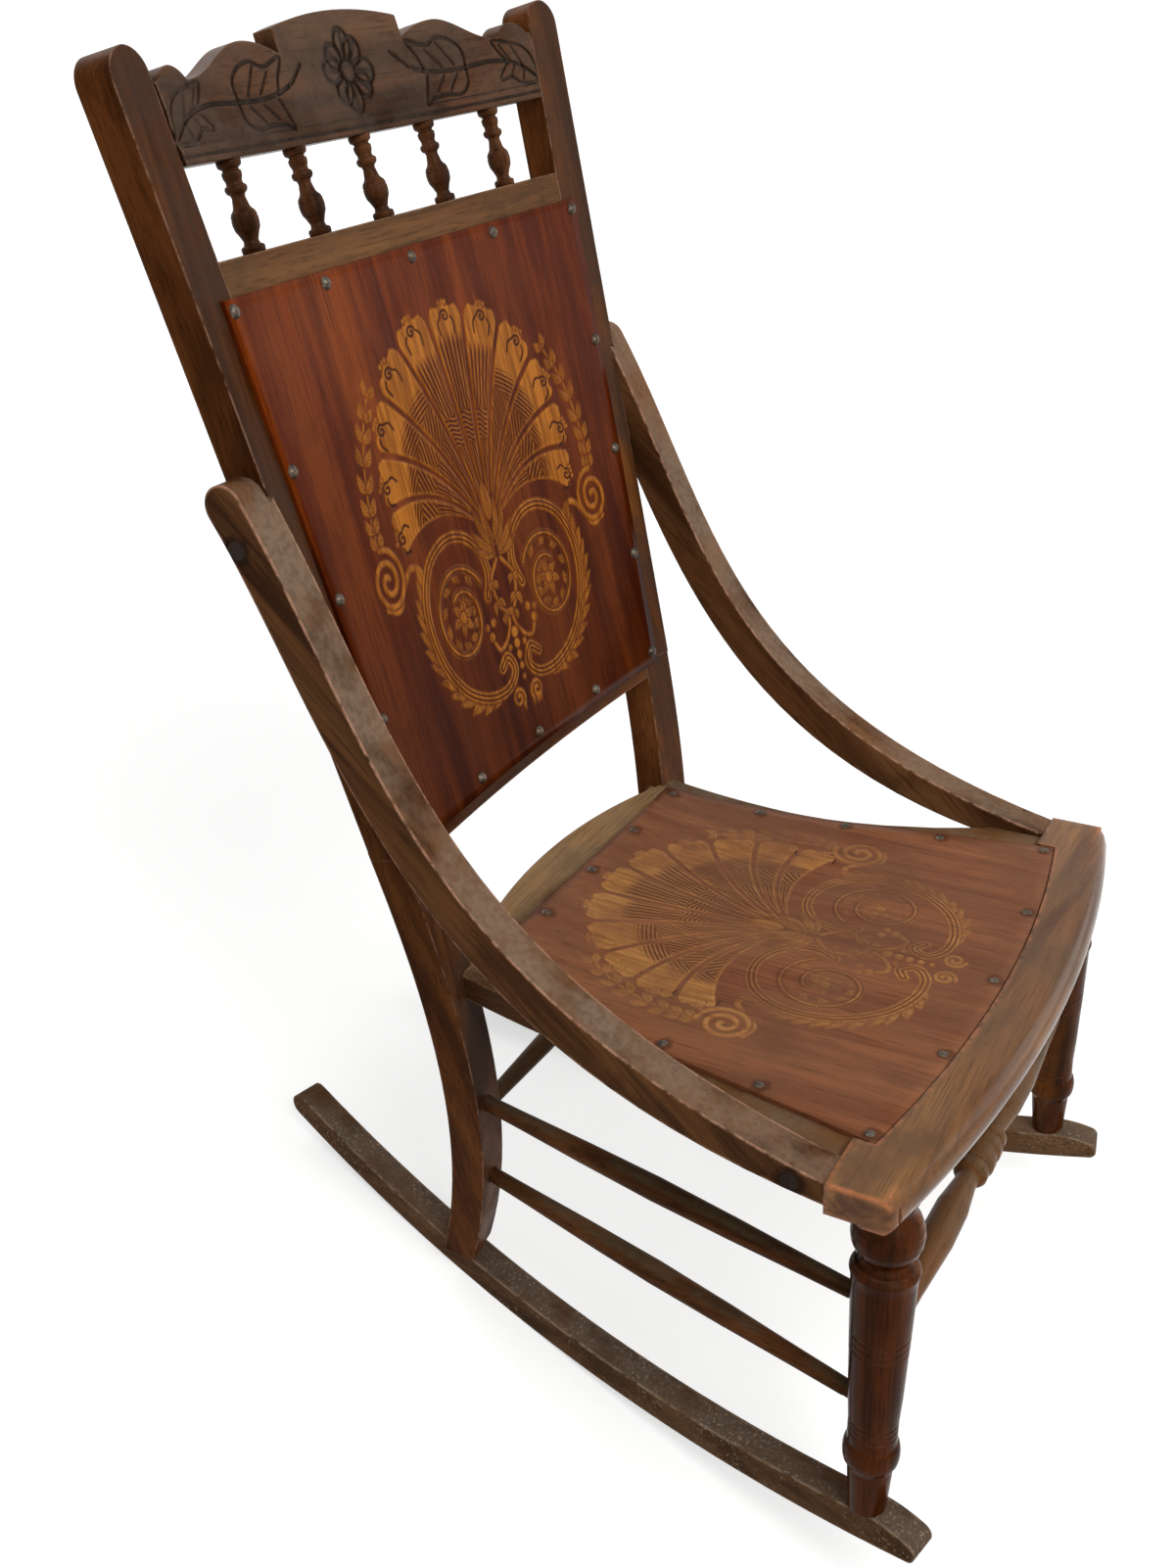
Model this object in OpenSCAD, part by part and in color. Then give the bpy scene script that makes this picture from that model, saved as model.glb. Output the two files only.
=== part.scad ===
// A carved rocking chair with turned legs, five back spindles, two nailed panels and two bow runners.
// Everything but the runners is laid out level and then leaned back onto them by the rest lean.
// X runs across the chair, Y from front to back and Z up. All lengths are in millimetres.

/* [Rest] */
// angle the whole chair leans back when it stands still, in degrees
rest_lean = 12.9; // [12:0.1:14]
// distance of the rocking centre in front of the post line
rock_centre_y = -208.6; // [-215:0.2:-202]
// height of the rocking centre above the level floor line
rock_centre_z = 1054.6; // [1045:0.2:1064]
// radius of the runner's sole seen from the side
rock_r = 1017; // [1008:0.5:1025]
// depth of the worn flat where the runners meet the floor
wear_depth = 0.12; // [0.05:0.01:0.3]
// shift that brings the middle of the chair over the origin
middle_shift = 17; // [8:0.1:26]

/* [Runners] */
// thickness of a runner across
runner_w = 23.5; // [22:0.5:26]
// height of a runner from sole to top
runner_h = 20.8; // [20:0.1:24]
// how far behind the sole's centre the centre of the runner's top lies, which thins the rear end
runner_shift = 8; // [0:0.5:10]
// angle by which each runner opens outward toward the front
runner_toe = 11.5; // [11:0.1:12]
// distance of a runner's outer face from the middle, above the floor contact
runner_out_x = 164.1; // [163:0.1:165.5]
// length of a runner behind the floor contact
runner_back = 229; // [215:1:240]
// length of a runner in front of the floor contact
runner_front = 401; // [393:1:412]
// radius of the long curve in which the nose falls off
nose_r = 85; // [75:1:100]
// radius of the nose's lower corner
nose_tip_r = 8; // [6:0.5:10]

/* [Back posts] */
// width of a post seen from the front
post_w = 34; // [32:0.5:36]
// depth of a post from front to back
post_d = 26.5; // [25:0.5:30]
// angle by which the posts' front faces turn toward each other, along the bend of the back
post_turn = 6; // [5:0.5:7]
// how much narrower a post is at its foot, taken off its inner face
post_taper = 12; // [8:0.5:13]
// distance of a post's inner face from the middle at seat height
post_in_x = 155.9; // [154:0.1:158]
// angle by which each post leans outward
post_splay = 5.1; // [4.9:0.1:5.3]
// height of the top of the posts before leaning
post_top_z = 989; // [975:1:1000]
// height at which the straight upper part of a post begins
post_bend_z = 478; // [474:1:482]
// front face of a post at the start of the straight part
post_bend_y = 21.5; // [20:0.5:23]
// angle of the straight upper part of the posts
back_lean = 12.33; // [12:0.01:12.6]
// height that the lower curve of a post is drawn down to
post_foot_z = 75; // [70:1:78]
// front face of a post at its foot
post_foot_y = 27; // [25:0.2:29]
// first curve point of a post's lower part, front to back
post_knee_y = -7.9; // [-10:0.1:-6]
// second curve point of a post's lower part, front to back
post_shin_y = -22; // [-25:0.1:-20]

/* [Back rails] */
// radius of the hollow in which the rails and the panel are bent
hollow_r = 1600; // [1500:10:1700]
// depth of that hollow at the bottom of the back
hollow_depth = 8.57; // [8:0.1:9.5]
// lean of the hollow's axis, which makes the hollow deeper at the top
hollow_lean = 0.585; // [0.5:0.01:0.7]
// radius of the hollow in which the crest rail is bent
crest_hollow_r = 1050; // [1000:10:1100]
// depth of that hollow at the crest rail's bottom
crest_hollow_depth = 17.8; // [17:0.1:19]
// lean of the crest rail's hollow, which makes it deeper at the top
crest_hollow_lean = 3.2; // [2.5:0.1:4.5]
// thickness of the crest rail
crest_t = 17; // [15:0.5:19]
// bottom of the crest rail, measured up the back
crest_low = 451.4; // [448:0.5:455]
// height of the crest rail at the top of its middle arch
crest_h = 79.6; // [75.6:0.1:83.6]
// height of the crest rail at the two ends of the arch
crest_step_h = 72.1; // [68.6:0.1:74.6]
// height of the crest rail at the foot of the step beside the arch
crest_foot_h = 56.6; // [53.6:0.1:59.6]
// height of the crest rail at the hump beside the step
crest_hump_h = 66.1; // [62.6:0.1:68.6]
// height of the crest rail at the notch beside the hump
crest_notch_h = 47.1; // [44.6:0.1:49.6]
// half width of the middle arch
arch_half = 68; // [64:0.5:72]
// distance of the top of the hump from the middle
hump_x = 106; // [102:0.5:110]
// distance of the notch from the middle
notch_x = 171; // [168:0.5:175]
// radius of the small scallop at each post
scallop_r = 17.5; // [16:0.5:19]
// thickness of the two plain back rails
rail_t = 20; // [18:0.5:22]
// bottom of the middle rail
mid_low = 360; // [356:0.5:362]
// top of the middle rail
mid_high = 396; // [394:0.5:400]
// bottom of the lower rail
low_low = -13; // [-16:0.5:-10]
// top of the lower rail
low_high = 17; // [15:0.5:20]

/* [Spindles] */
// distance between neighbouring spindles
spindle_pitch = 74.3; // [72:0.1:76]
// greatest radius of a spindle
spindle_r = 8.6; // [7.5:0.1:9.5]
// radius of the pins at a spindle's ends
spindle_pin_r = 3.6; // [3:0.1:4.2]
// length of the pins at a spindle's ends
spindle_pin = 9; // [7:0.5:11]

/* [Back panel] */
// thickness of the back panel
back_t = 3.6; // [3:0.1:4.5]
// bottom edge of the back panel
panel_low = -3; // [-6:0.5:-1]
// top edge of the back panel
panel_high = 374.6; // [372:0.5:377]
// width of the strip that lies on each post
panel_lap = 12.6; // [11:0.2:15]
// distance of the side nails from the posts' inner faces
nail_in = 6.4; // [5.5:0.1:7]
// height of the bottom row of nails
nail_low = 7; // [6:0.5:9]
// height of the top row of nails
nail_high = 367; // [365:0.5:368]
// heights of the three nails between them on each side, as shares of the way up
nail_height_shares = [0.236, 0.478, 0.72];
// radius of a nail's domed head
nail_head_r = 4.6; // [4:0.1:5]
// height of a nail's domed head
nail_head_h = 3.2; // [2.6:0.1:3.6]
// radius of a nail's shank
nail_r = 1.1; // [0.9:0.1:1.3]
// length of a nail's shank
nail_l = 15; // [12:0.5:17]

/* [Seat] */
// height of the seat's top before leaning
seat_z = 360; // [357:0.5:363]
// thickness of the seat's rails
seat_rail_t = 23; // [21:0.5:26]
// thickness of the seat panel
seat_t = 4.2; // [3.5:0.1:5]
// radius of the bowed front of the seat
bow_r = 1073; // [1050:1:1100]
// front of the seat at its middle
bow_y = -386; // [-390:0.5:-382]
// width of the front rail in the middle
bow_w = 40; // [37:0.5:43]
// half width of the front rail
front_half = 252; // [250:0.5:256]
// back edge of the front rail
front_back_y = -311; // [-313:0.5:-309]
// radius of the front rail's upper front edge
roll_top_r = 13.5; // [11:0.5:15]
// radius of the front rail's lower front edge
roll_low_r = 9; // [7:0.5:9.4]
// radius of the front rail's outer corners
corner_r = 8; // [6:0.5:10]
// half width of the seat panel at the front
panel_front_half = 204; // [202:0.5:206]
// half width of the seat panel at the back
panel_back_half = 150; // [147:0.5:153]
// back edge of the seat panel
panel_back_y = -5; // [-8:0.5:-4]
// place where the seat begins to rise toward the back
dish_y = -150; // [-160:1:-140]
// radius of that rise
dish_r = 865; // [840:5:900]
// inner edge of a side rail at the front
side_in_front = 186; // [183:0.5:189]
// inner edge of a side rail at the back
side_in_back = 127; // [124:0.5:130]
// outer edge of a side rail at the back
side_out_back = 169; // [167:0.5:171]
// outer edge of a side rail at the front, where it meets the arm
side_out_front = 232; // [230:0.5:234]
// front edge of the rear rail
rear_front_y = -36; // [-40:0.5:-32]
// back edge of the rear rail beside the posts
rear_end_y = 4; // [3:0.5:6]
// back edge of the rear rail in the middle
rear_mid_y = 30; // [28:0.5:32]
// radius of a seat nail's flat head
tack_r = 3.5; // [3:0.1:4]
// height of a seat nail's flat head
tack_h = 1.1; // [0.8:0.1:1.4]
// distance of the seat nails from the panel's edges
tack_in = 8; // [7:0.5:9]

/* [Arms] */
// thickness of an arm across
arm_w = 27.5; // [26.5:0.5:29.5]
// inner face of an arm at the post
arm_in_x = 217.5; // [217:0.1:218]
// place of the arm's upper end from front to back
arm_post_y = 84; // [82:0.5:86]
// angle of the arms seen from above
arm_turn = 0.8; // [0.7:0.01:0.9]
// middle of the arm's rounded upper end, front to back
arm_end_y = 89.5; // [87:0.5:91]
// height of the middle of that end
arm_end_z = 728; // [726:1:734]
// radius of the arm's rounded upper end
arm_end_r = 14.8; // [14.4:0.2:16]
// angle at which the arm comes down from that end, off the upright
arm_end_angle = 25.5; // [23:0.5:28]
// height of the arm's upper edge at its front end
arm_front_z = 358; // [356:0.5:360]
// depth of the arm at its front end
arm_front_t = 16; // [14:0.5:17]
// radius of the dark plugs over the arm screws
plug_r = 6.4; // [5.8:0.1:7]
// depth of the dark plugs
plug_t = 4; // [3:0.5:5]

/* [Front legs] */
// distance of a leg from the middle, at the shoulder
leg_x = 211; // [209:0.5:213]
// place of the front legs from front to back
leg_y = -338; // [-340:0.5:-336]
// angle by which the legs open outward
leg_splay = 3.9; // [3.6:0.1:4.2]
// radius of the ball under the seat
leg_ball_r = 23.7; // [22.5:0.1:24.5]
// radius of the shoulder under the ball
leg_shoulder_r = 23; // [22:0.1:24]
// radius of the leg's cylinder under the shoulder
leg_high_r = 21.6; // [20.5:0.1:22.5]
// radius of the leg's cylinder above the collar
leg_low_r = 16.9; // [16:0.1:18]
// radius of the collar
leg_collar_r = 19.4; // [18.5:0.1:20.5]
// radius of the foot at the runner
leg_foot_r = 11.9; // [11:0.1:12.4]
// radius of the pins at both ends of a leg
leg_pin_r = 8; // [7:0.1:9]
// length of the pin in the seat rail
leg_pin_up = 15; // [12:0.5:17]
// length of the pin in the runner
leg_pin_down = 14; // [12:0.5:16]

/* [Stretchers] */
// greatest radius of a side stretcher
side_bar_r = 9; // [8:0.1:10]
// radius of a stretcher's ends
bar_end_r = 6; // [5.5:0.1:6.5]
// greatest radius of the front stretcher
front_bar_r = 14; // [13:0.1:15]
// height of the front stretcher before leaning
front_bar_z = 204; // [201:0.5:207]
// height of the rear stretcher before leaning
rear_bar_z = 233; // [230:0.5:236]
// height of the upper side stretcher at the post
upper_back_z = 251; // [249:0.5:253]
// height of the upper side stretcher at the leg
upper_front_z = 240; // [238:0.5:242]
// height of the lower side stretcher at the post
lower_back_z = 175; // [173:0.5:177]
// height of the lower side stretcher at the leg
lower_front_z = 157; // [155:0.5:159]

/* [Hidden] */

// running clearance round pins, screws and plugs
fit = 0.2;
// gap between a curved face and the piece it follows
curve_gap = 0.15;
// overrun of every cut past the face it leaves
over = 2;
// generous reach of the large cutting blocks
reach = 1200;
$fn = 96;

wood = [0.36, 0.2, 0.1];
wood_dark = [0.27, 0.15, 0.08];
wood_worn = [0.4, 0.3, 0.22];
wood_gold = [0.45, 0.25, 0.11];
panel_red = [0.5, 0.2, 0.08];
panel_dull = [0.36, 0.16, 0.1];
metal = [0.33, 0.3, 0.26];
plug_dark = [0.1, 0.08, 0.07];

big_fn = 720;
curve_steps = 24;
runner_r = rock_r / pow(cos(runner_toe), 2);

function lerp(a, b, t) = a + (b - a) * t;
function bezier(a, b, c, d, t) = a * pow(1 - t, 3) + 3 * b * t * pow(1 - t, 2)
  + 3 * c * t * t * (1 - t) + d * pow(t, 3);
function inner_x(z) = post_in_x + (z - post_ref_z) * tan(post_splay);
// the posts' spacing is taken at the height of the seat's back edge
post_ref_up = 9;
post_ref_z = seat_z + post_ref_up;
back_inner_low = inner_x(post_bend_z);
inner_grow = tan(post_splay) * cos(back_lean);
function back_inner(v) = back_inner_low + v * inner_grow;
function seat_rise(y) = y > dish_y ? dish_r - sqrt(dish_r * dish_r - pow(y - dish_y, 2)) : 0;
function seat_slope(y) = y > dish_y ? asin((y - dish_y) / dish_r) : 0;

// moves level pieces into the pose in which the chair rests on the floor
module at_rest() {
  translate([0, middle_shift, rock_r - wear_depth])
    rotate([-rest_lean, 0, 0])
      translate([0, -rock_centre_y, -rock_centre_z])
        children();
}

// the right piece as drawn, or its mirror image for the left
module sided(side) {
  mirror([side < 0 ? 1 : 0, 0, 0])
    children();
}

// carries a flat outline drawn as front to back and up into a board of the given width
module board(w) {
  rotate([90, 0, 90])
    linear_extrude(w)
      children();
}

// a rod along a line between two points
module rod(a, b, r) {
  d = b - a;
  l = norm(d);
  translate(a)
    rotate([0, acos(d[2] / l), atan2(d[1], d[0])])
      cylinder(h = l, r = r);
}

// turned outline between two points, given as share of the length and radius
module turned(a, b, outline) {
  d = b - a;
  l = norm(d);
  translate(a)
    rotate([0, acos(d[2] / l), atan2(d[1], d[0])])
      rotate_extrude()
        polygon(concat([[0, 0]], [for (p = outline) [p[1], p[0] * l]], [[0, l]]));
}

// runners

module runner_plane(side) {
  sided(side)
    translate([runner_out_x, middle_shift, 0])
      rotate([0, 0, runner_toe])
        children();
}

// height of a runner at an angle behind the contact
function runner_t(angle) = runner_h - runner_shift * sin(angle);
back_reach = asin(runner_back / runner_r);
tip_r = runner_t(back_reach) / 2;
back_angle = asin((runner_back - tip_r) / runner_r);
// distances of the nose's lower corner from the middle of the long curve
nose_h = runner_t(-asin(runner_front / runner_r));
nose_up = nose_r - nose_h + nose_tip_r;
nose_along = sqrt(pow(nose_r - nose_tip_r, 2) - nose_up * nose_up);
front_angle = asin((runner_front - nose_along - nose_tip_r) / runner_r);

module runner_strip() {
  difference() {
    circle(r = runner_r, $fn = big_fn);
    translate([runner_shift, 0])
      circle(r = runner_r - runner_h, $fn = big_fn);
  }
}

module runner_outline() {
  mid_r = runner_r - tip_r;
  translate([0, runner_r - wear_depth]) {
    intersection() {
      runner_strip();
      polygon([[0, 0], [reach * sin(back_angle), -reach * cos(back_angle)], [0, -reach - reach],
        [-reach * sin(front_angle), -reach * cos(front_angle)]]);
    }
    translate([mid_r * sin(back_angle), -mid_r * cos(back_angle)])
      circle(r = tip_r);
    intersection() {
      runner_strip();
      rotate([0, 0, -front_angle])
        translate([0, -runner_r])
          nose();
    }
  }
}

// outline of the nose, seen as if the runner were straight and ran to the left
module nose() {
  intersection() {
    translate([0, nose_h - nose_r])
      circle(r = nose_r);
    polygon([[over, 0], [-over, nose_h - nose_r],
             [-nose_along * 2, nose_h - nose_r + nose_up * 2], [over, nose_h * 2]]);
  }
  translate([-nose_along, -over])
    square([nose_along + over, nose_tip_r + over]);
  translate([-nose_along, nose_tip_r])
    circle(r = nose_tip_r);
}

// space above a runner, with a hair of gap, that legs and posts are cut off by
module above_runner(side) {
  runner_plane(side)
    translate([-reach / 2, runner_shift, runner_r - wear_depth])
      rotate([0, 90, 0])
        cylinder(h = reach, r = runner_r - runner_h - curve_gap, $fn = big_fn);
}

module runner(side) {
  difference() {
    runner_plane(side)
      translate([-runner_w, 0, 0])
        board(runner_w)
          runner_outline();
    translate([-reach / 2, -reach / 2, -reach])
      cube([reach, reach, reach]);
    at_rest()
      sided(side) {
        leg_pin_low(fit);
        post_pin(fit);
      }
  }
}

// back posts

module post_frame() {
  translate([post_in_x, 0, post_ref_z])
    rotate([0, post_splay, 0])
      translate([0, 0, -post_ref_z])
        children();
}

// height at which a post lands on its runner, before leaning
post_land_z = 91;
post_knee_share = 1 / 3;
post_knee_z = lerp(post_bend_z, post_foot_z, post_knee_share);
post_shin_z = lerp(post_bend_z, post_foot_z, 1 - post_knee_share);
post_line = concat(
  [for (i = [0:curve_steps]) let (t = 1 - i / curve_steps) [
    bezier(post_bend_y, post_knee_y, post_shin_y, post_foot_y, t),
    bezier(post_bend_z, post_knee_z, post_shin_z, post_foot_z, t)]],
  [[post_bend_y + over * tan(back_lean), post_bend_z + over]]);

// the inner face of a post below its straight part
function face_x(z) = inner_x(z) + post_taper * (post_bend_z - z) / (post_bend_z - post_foot_z);

post_length = (post_top_z - post_bend_z) / cos(back_lean);

// straight upper part of a post, turned about its inner front edge and rounded at its top
module post_upper() {
  back_frame()
    translate([back_inner_low, 0, 0])
      rotate([0, atan(inner_grow), 0])
        rotate([0, 0, -post_turn]) {
          cube([post_w, post_d, post_length - post_w / 2]);
          translate([post_w / 2, 0, post_length - post_w / 2])
            rotate([-90, 0, 0])
              cylinder(h = post_d, r = post_w / 2);
        }
}

// curved lower part of a post, with its inner face drawn in toward the foot
module post_lower() {
  difference() {
    post_frame()
      translate([0, post_bend_y, 0])
        rotate([0, 0, -post_turn])
          translate([0, -post_bend_y, 0])
            board(post_w)
              polygon(concat(
                post_line,
                [for (i = [len(post_line) - 1:-1:0])
                   [post_line[i][0] + post_d / cos(back_lean), post_line[i][1]]]));
    post_frame()
      translate([0, 0, post_bend_z])
        rotate([0, atan(post_taper / (post_bend_z - post_foot_z)), 0])
          translate([-reach, -reach / 2, -reach])
            cube([reach, reach, reach]);
  }
}

module post_body(side) {
  sided(side) {
    post_upper();
    post_lower();
  }
}

// round pin that holds a post on its runner
module post_pin(gap) {
  x = inner_x(post_land_z) + (post_w + post_taper / 2) / 2;
  y = post_foot_y + post_d / 2;
  rod([x, y, post_land_z - leg_pin_down - gap], [x, y, post_land_z + leg_pin_up], bar_end_r + gap);
}

module post(side) {
  difference() {
    union() {
      intersection() {
        at_rest()
          post_body(side);
        above_runner(side);
      }
      at_rest()
        sided(side)
          post_pin(0);
    }
    at_rest() {
      sided(side) {
        arm_body();
        rail_pegs(fit);
        stretcher_pins_back(fit);
        arm_screw_cut();
      }
      back_nail_shanks(fit);
    }
  }
}

// the back: across, up the back and out behind it

module back_frame() {
  translate([0, post_bend_y, post_bend_z])
    rotate([-back_lean, 0, 0])
      children();
}

// bends of the back: radius of the hollow, its depth, its lean and the height where it has that depth
rail_bend = [hollow_r, hollow_depth, hollow_lean, 0];
crest_bend = [crest_hollow_r, crest_hollow_depth, crest_hollow_lean, crest_low];

// moves a hollow's axis upright to its place
module bend_frame(bend) {
  translate([0, bend[1] - bend[0], bend[3]])
    rotate([-bend[2], 0, 0])
      children();
}

// solid cylinder whose rear side is the hollow, moved back by a given amount
module hollow(bend, more) {
  bend_frame(bend)
    translate([0, 0, -reach / 2])
      cylinder(h = reach + reach, r = bend[0] + more, $fn = big_fn);
}

module bent_board(bend, t) {
  back_frame()
    intersection() {
      difference() {
        hollow(bend, t);
        hollow(bend, 0);
      }
      translate([0, reach / 2, 0])
        rotate([90, 0, 0])
          linear_extrude(reach)
            children();
    }
}

// how far behind the posts' line the front of a bent piece lies
function bend_w(bend, x, v) =
  bend[1] + (v - bend[3]) * tan(bend[2]) - (bend[0] - sqrt(bend[0] * bend[0] - x * x));

// pins at the ends of the rails that lie between the posts
peg_r = 4.8;
peg_in = 14;
// pegs sit a little behind the middle of a rail, inside its bend
peg_back = 1.2;
module rail_peg(v, t, gap) {
  back_frame()
    translate([back_inner(v) - peg_in, t / 2 + peg_back, v])
      rotate([0, 90, 0])
        cylinder(h = peg_in + peg_in + gap, r = peg_r + gap);
}

module rail_pegs(gap) {
  rail_peg((mid_low + mid_high) / 2, rail_t, gap);
  rail_peg((low_low + low_high) / 2, rail_t, gap);
  rail_peg(lerp(crest_low, crest_notch, 0.5), crest_t, gap);
  rear_peg(gap);
}

rear_peg_y = 12.5;
rear_peg_z = seat_z + peg_back;
module rear_peg(gap) {
  translate([inner_x(rear_peg_z) - peg_in, rear_peg_y, rear_peg_z])
    rotate([0, 90, 0])
      cylinder(h = peg_in + peg_in + gap, r = peg_r + gap);
}

module both() {
  children();
  mirror([1, 0, 0])
    children();
}

// a plain rail between the posts
module back_rail(low, high) {
  half = back_inner(high) + rail_t * sin(post_turn) + fit;
  at_rest()
    difference() {
      union() {
        bent_board(rail_bend, rail_t)
          translate([-half, low])
            square([half + half, high - low]);
        both()
          rail_peg((low + high) / 2, rail_t, 0);
      }
      both()
        difference() {
          for (ahead = [0, over])
            translate([0, -ahead, 0])
              post_body(1);
          rail_peg((low + high) / 2, rail_t, 0);
        }
      if (low > panel_low + rail_t)
        spindle_pins(fit);
      back_nail_shanks(fit);
    }
}

crest_high = crest_low + crest_h;
crest_step_foot = crest_low + crest_foot_h;
crest_hump = crest_low + crest_hump_h;
crest_notch = crest_low + crest_notch_h;
function hump_top(x) = x < hump_x
  ? crest_hump - (crest_hump - crest_step_foot) * pow((hump_x - x) / (hump_x - arch_half), 2)
  : crest_notch + (crest_hump - crest_notch) * (1 + cos(180 * (x - hump_x) / (notch_x - hump_x))) / 2;
arch_rise = crest_h - crest_step_h;
arch_r = (arch_half * arch_half + arch_rise * arch_rise) / (2 * arch_rise);

module crest_outline() {
  half = back_inner(crest_high) + peg_in / 2;
  hump_line = [for (i = [0:curve_steps])
    let (x = lerp(arch_half, notch_x, i / curve_steps)) [x, hump_top(x)]];
  for (s = [0, 1])
    mirror([s, 0])
      polygon(concat([[0, crest_low]], [[0, crest_step_foot]], hump_line,
        [[half, crest_notch], [half, crest_low]]));
  translate([-half, crest_low])
    square([half + half, crest_notch_h]);
  translate([-arch_half, crest_low])
    square([arch_half + arch_half, crest_step_h]);
  intersection() {
    translate([0, crest_high - arch_r])
      circle(r = arch_r, $fn = big_fn);
    translate([-arch_half, crest_low])
      square([arch_half + arch_half, crest_high]);
  }
  for (s = [-1, 1])
    translate([s * (notch_x + scallop_r), crest_notch - scallop_r / 2])
      circle(r = scallop_r);
}

module crest_rail() {
  v = lerp(crest_low, crest_notch, 0.5);
  color(wood)
    at_rest()
      difference() {
        union() {
          bent_board(crest_bend, crest_t)
            crest_outline();
          both()
            rail_peg(v, crest_t, 0);
        }
        both()
          difference() {
            post_body(1);
            rail_peg(v, crest_t, 0);
          }
        spindle_pins(fit);
      }
}

// spindles

function spindle_foot(x) = [x, bend_w(rail_bend, x, mid_high) + rail_t / 2, mid_high];
function spindle_head(x) = [x, bend_w(crest_bend, x, crest_low) + crest_t / 2, crest_low];
spindle_shares = [
  [0, 0.86], [0.05, 0.9], [0.075, 0.84], [0.09, 0.62], [0.13, 0.56], [0.2, 0.74], [0.26, 0.94], [0.32, 1],
  [0.375, 1], [0.385, 0.94], [0.395, 0.99], [0.44, 0.9], [0.475, 0.7], [0.5, 0.62], [0.6, 0.5], [0.63, 0.55],
  [0.655, 0.76], [0.69, 0.84], [0.72, 0.8], [0.74, 0.62], [0.77, 0.6], [0.82, 0.72],
  [0.87, 0.74], [0.89, 0.6],
  [0.905, 0.62], [0.93, 0.86], [0.97, 0.92], [1, 0.9]];

module spindle_pin_pair(x, gap) {
  back_frame()
    rod(along(spindle_foot(x), spindle_head(x), -spindle_pin - gap),
      along(spindle_head(x), spindle_foot(x), -spindle_pin - gap), spindle_pin_r + gap);
}

module spindle_pins(gap) {
  for (i = [-2:2])
    spindle_pin_pair(i * spindle_pitch, gap);
}

module spindle(i) {
  x = i * spindle_pitch;
  at_rest() {
    back_frame()
      turned(spindle_foot(x), spindle_head(x),
        [for (p = spindle_shares) [p[0], p[1] * spindle_r]]);
    spindle_pin_pair(x, 0);
  }
}

// back panel and its nails

nail_row_shares = [-0.5, 0, 0.5];
module back_nail_at(x, v) {
  back_frame()
    bend_frame(rail_bend)
      rotate([0, 0, -asin(x / hollow_r)])
        translate([0, hollow_r - back_t, (v + (hollow_r - back_t) * sin(hollow_lean)) / cos(hollow_lean)])
          rotate([90, 0, 0])
            children();
}

module back_nail_places() {
  for (s = [-1, 1])
    for (t = concat([0], nail_height_shares, [1]))
      back_nail_at(s * (back_inner(lerp(nail_low, nail_high, t)) + nail_in), lerp(nail_low, nail_high, t))
        children();
  for (v = [nail_low, nail_high])
    for (k = nail_row_shares)
      back_nail_at(k * (back_inner(v) + nail_in), v)
        children();
}

// domed head of a given size on a given face, standing up from it
module dome(r, h) {
  ball = (r * r + h * h) / (2 * h);
  intersection() {
    translate([0, 0, h - ball])
      sphere(r = ball);
    cylinder(h = h + over, r = r);
  }
}

module back_nail_shanks(gap) {
  back_nail_places()
    translate([0, 0, -nail_l - gap])
      cylinder(h = nail_l + over, r = nail_r + gap, $fn = curve_steps);
}

module back_panel_nails() {
  color(metal)
    at_rest()
      back_nail_places() {
        dome(nail_head_r, nail_head_h);
        translate([0, 0, -nail_l])
          cylinder(h = nail_l + nail_head_h / 2, r = nail_r, $fn = curve_steps);
      }
}

module back_panel() {
  color(panel_red)
    at_rest()
      difference() {
        back_frame()
          difference() {
            intersection() {
              union() {
                hollow(rail_bend, -curve_gap);
                translate([-reach / 2, -reach, -reach / 2])
                  cube([reach, reach, reach]);
              }
              translate([0, reach / 2, 0])
                rotate([90, 0, 0])
                  linear_extrude(reach)
                    polygon([
                      [-back_inner(panel_low) - panel_lap, panel_low],
                       [back_inner(panel_low) + panel_lap, panel_low],
                      [back_inner(panel_high) + panel_lap, panel_high],
                      [-back_inner(panel_high) - panel_lap, panel_high]]);
            }
            hollow(rail_bend, -back_t);
          }
        back_nail_shanks(fit);
      }
}

// seat

bow_centre_y = bow_y + bow_r;
bow_in_r = bow_r - bow_w;
rail_top = seat_z - seat_t;
rail_low = seat_z - seat_rail_t;

function seat_line(drop) = concat(
  [[bow_y, seat_z - drop], [dish_y, seat_z - drop]],
  [for (i = [1:curve_steps])
    let (y = lerp(dish_y, rear_mid_y + over, i / curve_steps)) [y, seat_z + seat_rise(y) - drop]]);

module seat_slab(high, low) {
  upper = seat_line(high);
  lower = seat_line(low);
  translate([-reach / 2, 0, 0])
    board(reach)
      polygon(concat(upper, [for (i = [len(lower) - 1:-1:0]) lower[i]]));
}

module plan(low, high) {
  translate([0, 0, low])
    linear_extrude(high - low)
      children();
}

module seat_front_rail() {
  color(wood_gold)
    at_rest()
      difference() {
        union() {
          intersection() {
            union() {
              translate([0, bow_centre_y, 0])
                rotate_extrude($fn = big_fn)
                  rolled_section();
              plan(rail_low, seat_z)
                for (s = [-1, 1])
                  translate([s > 0 ? panel_front_half : -front_half, front_back_y - bow_w])
                    square([front_half - panel_front_half, bow_w]);
            }
            plan(rail_low - over, seat_z + over)
              front_plan();
          }
          plan(rail_low, rail_top - curve_gap / 2)
            intersection() {
              translate([-panel_front_half - over, bow_y])
                square([panel_front_half + panel_front_half + over + over, front_back_y - bow_y]);
              translate([0, bow_centre_y])
                circle(r = bow_in_r + over, $fn = big_fn);
            }
        }
        both() {
          leg_pin_high(fit);
          side_rail_dowel(fit);
        }
        tack_shanks(fit);
      }
}

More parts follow.
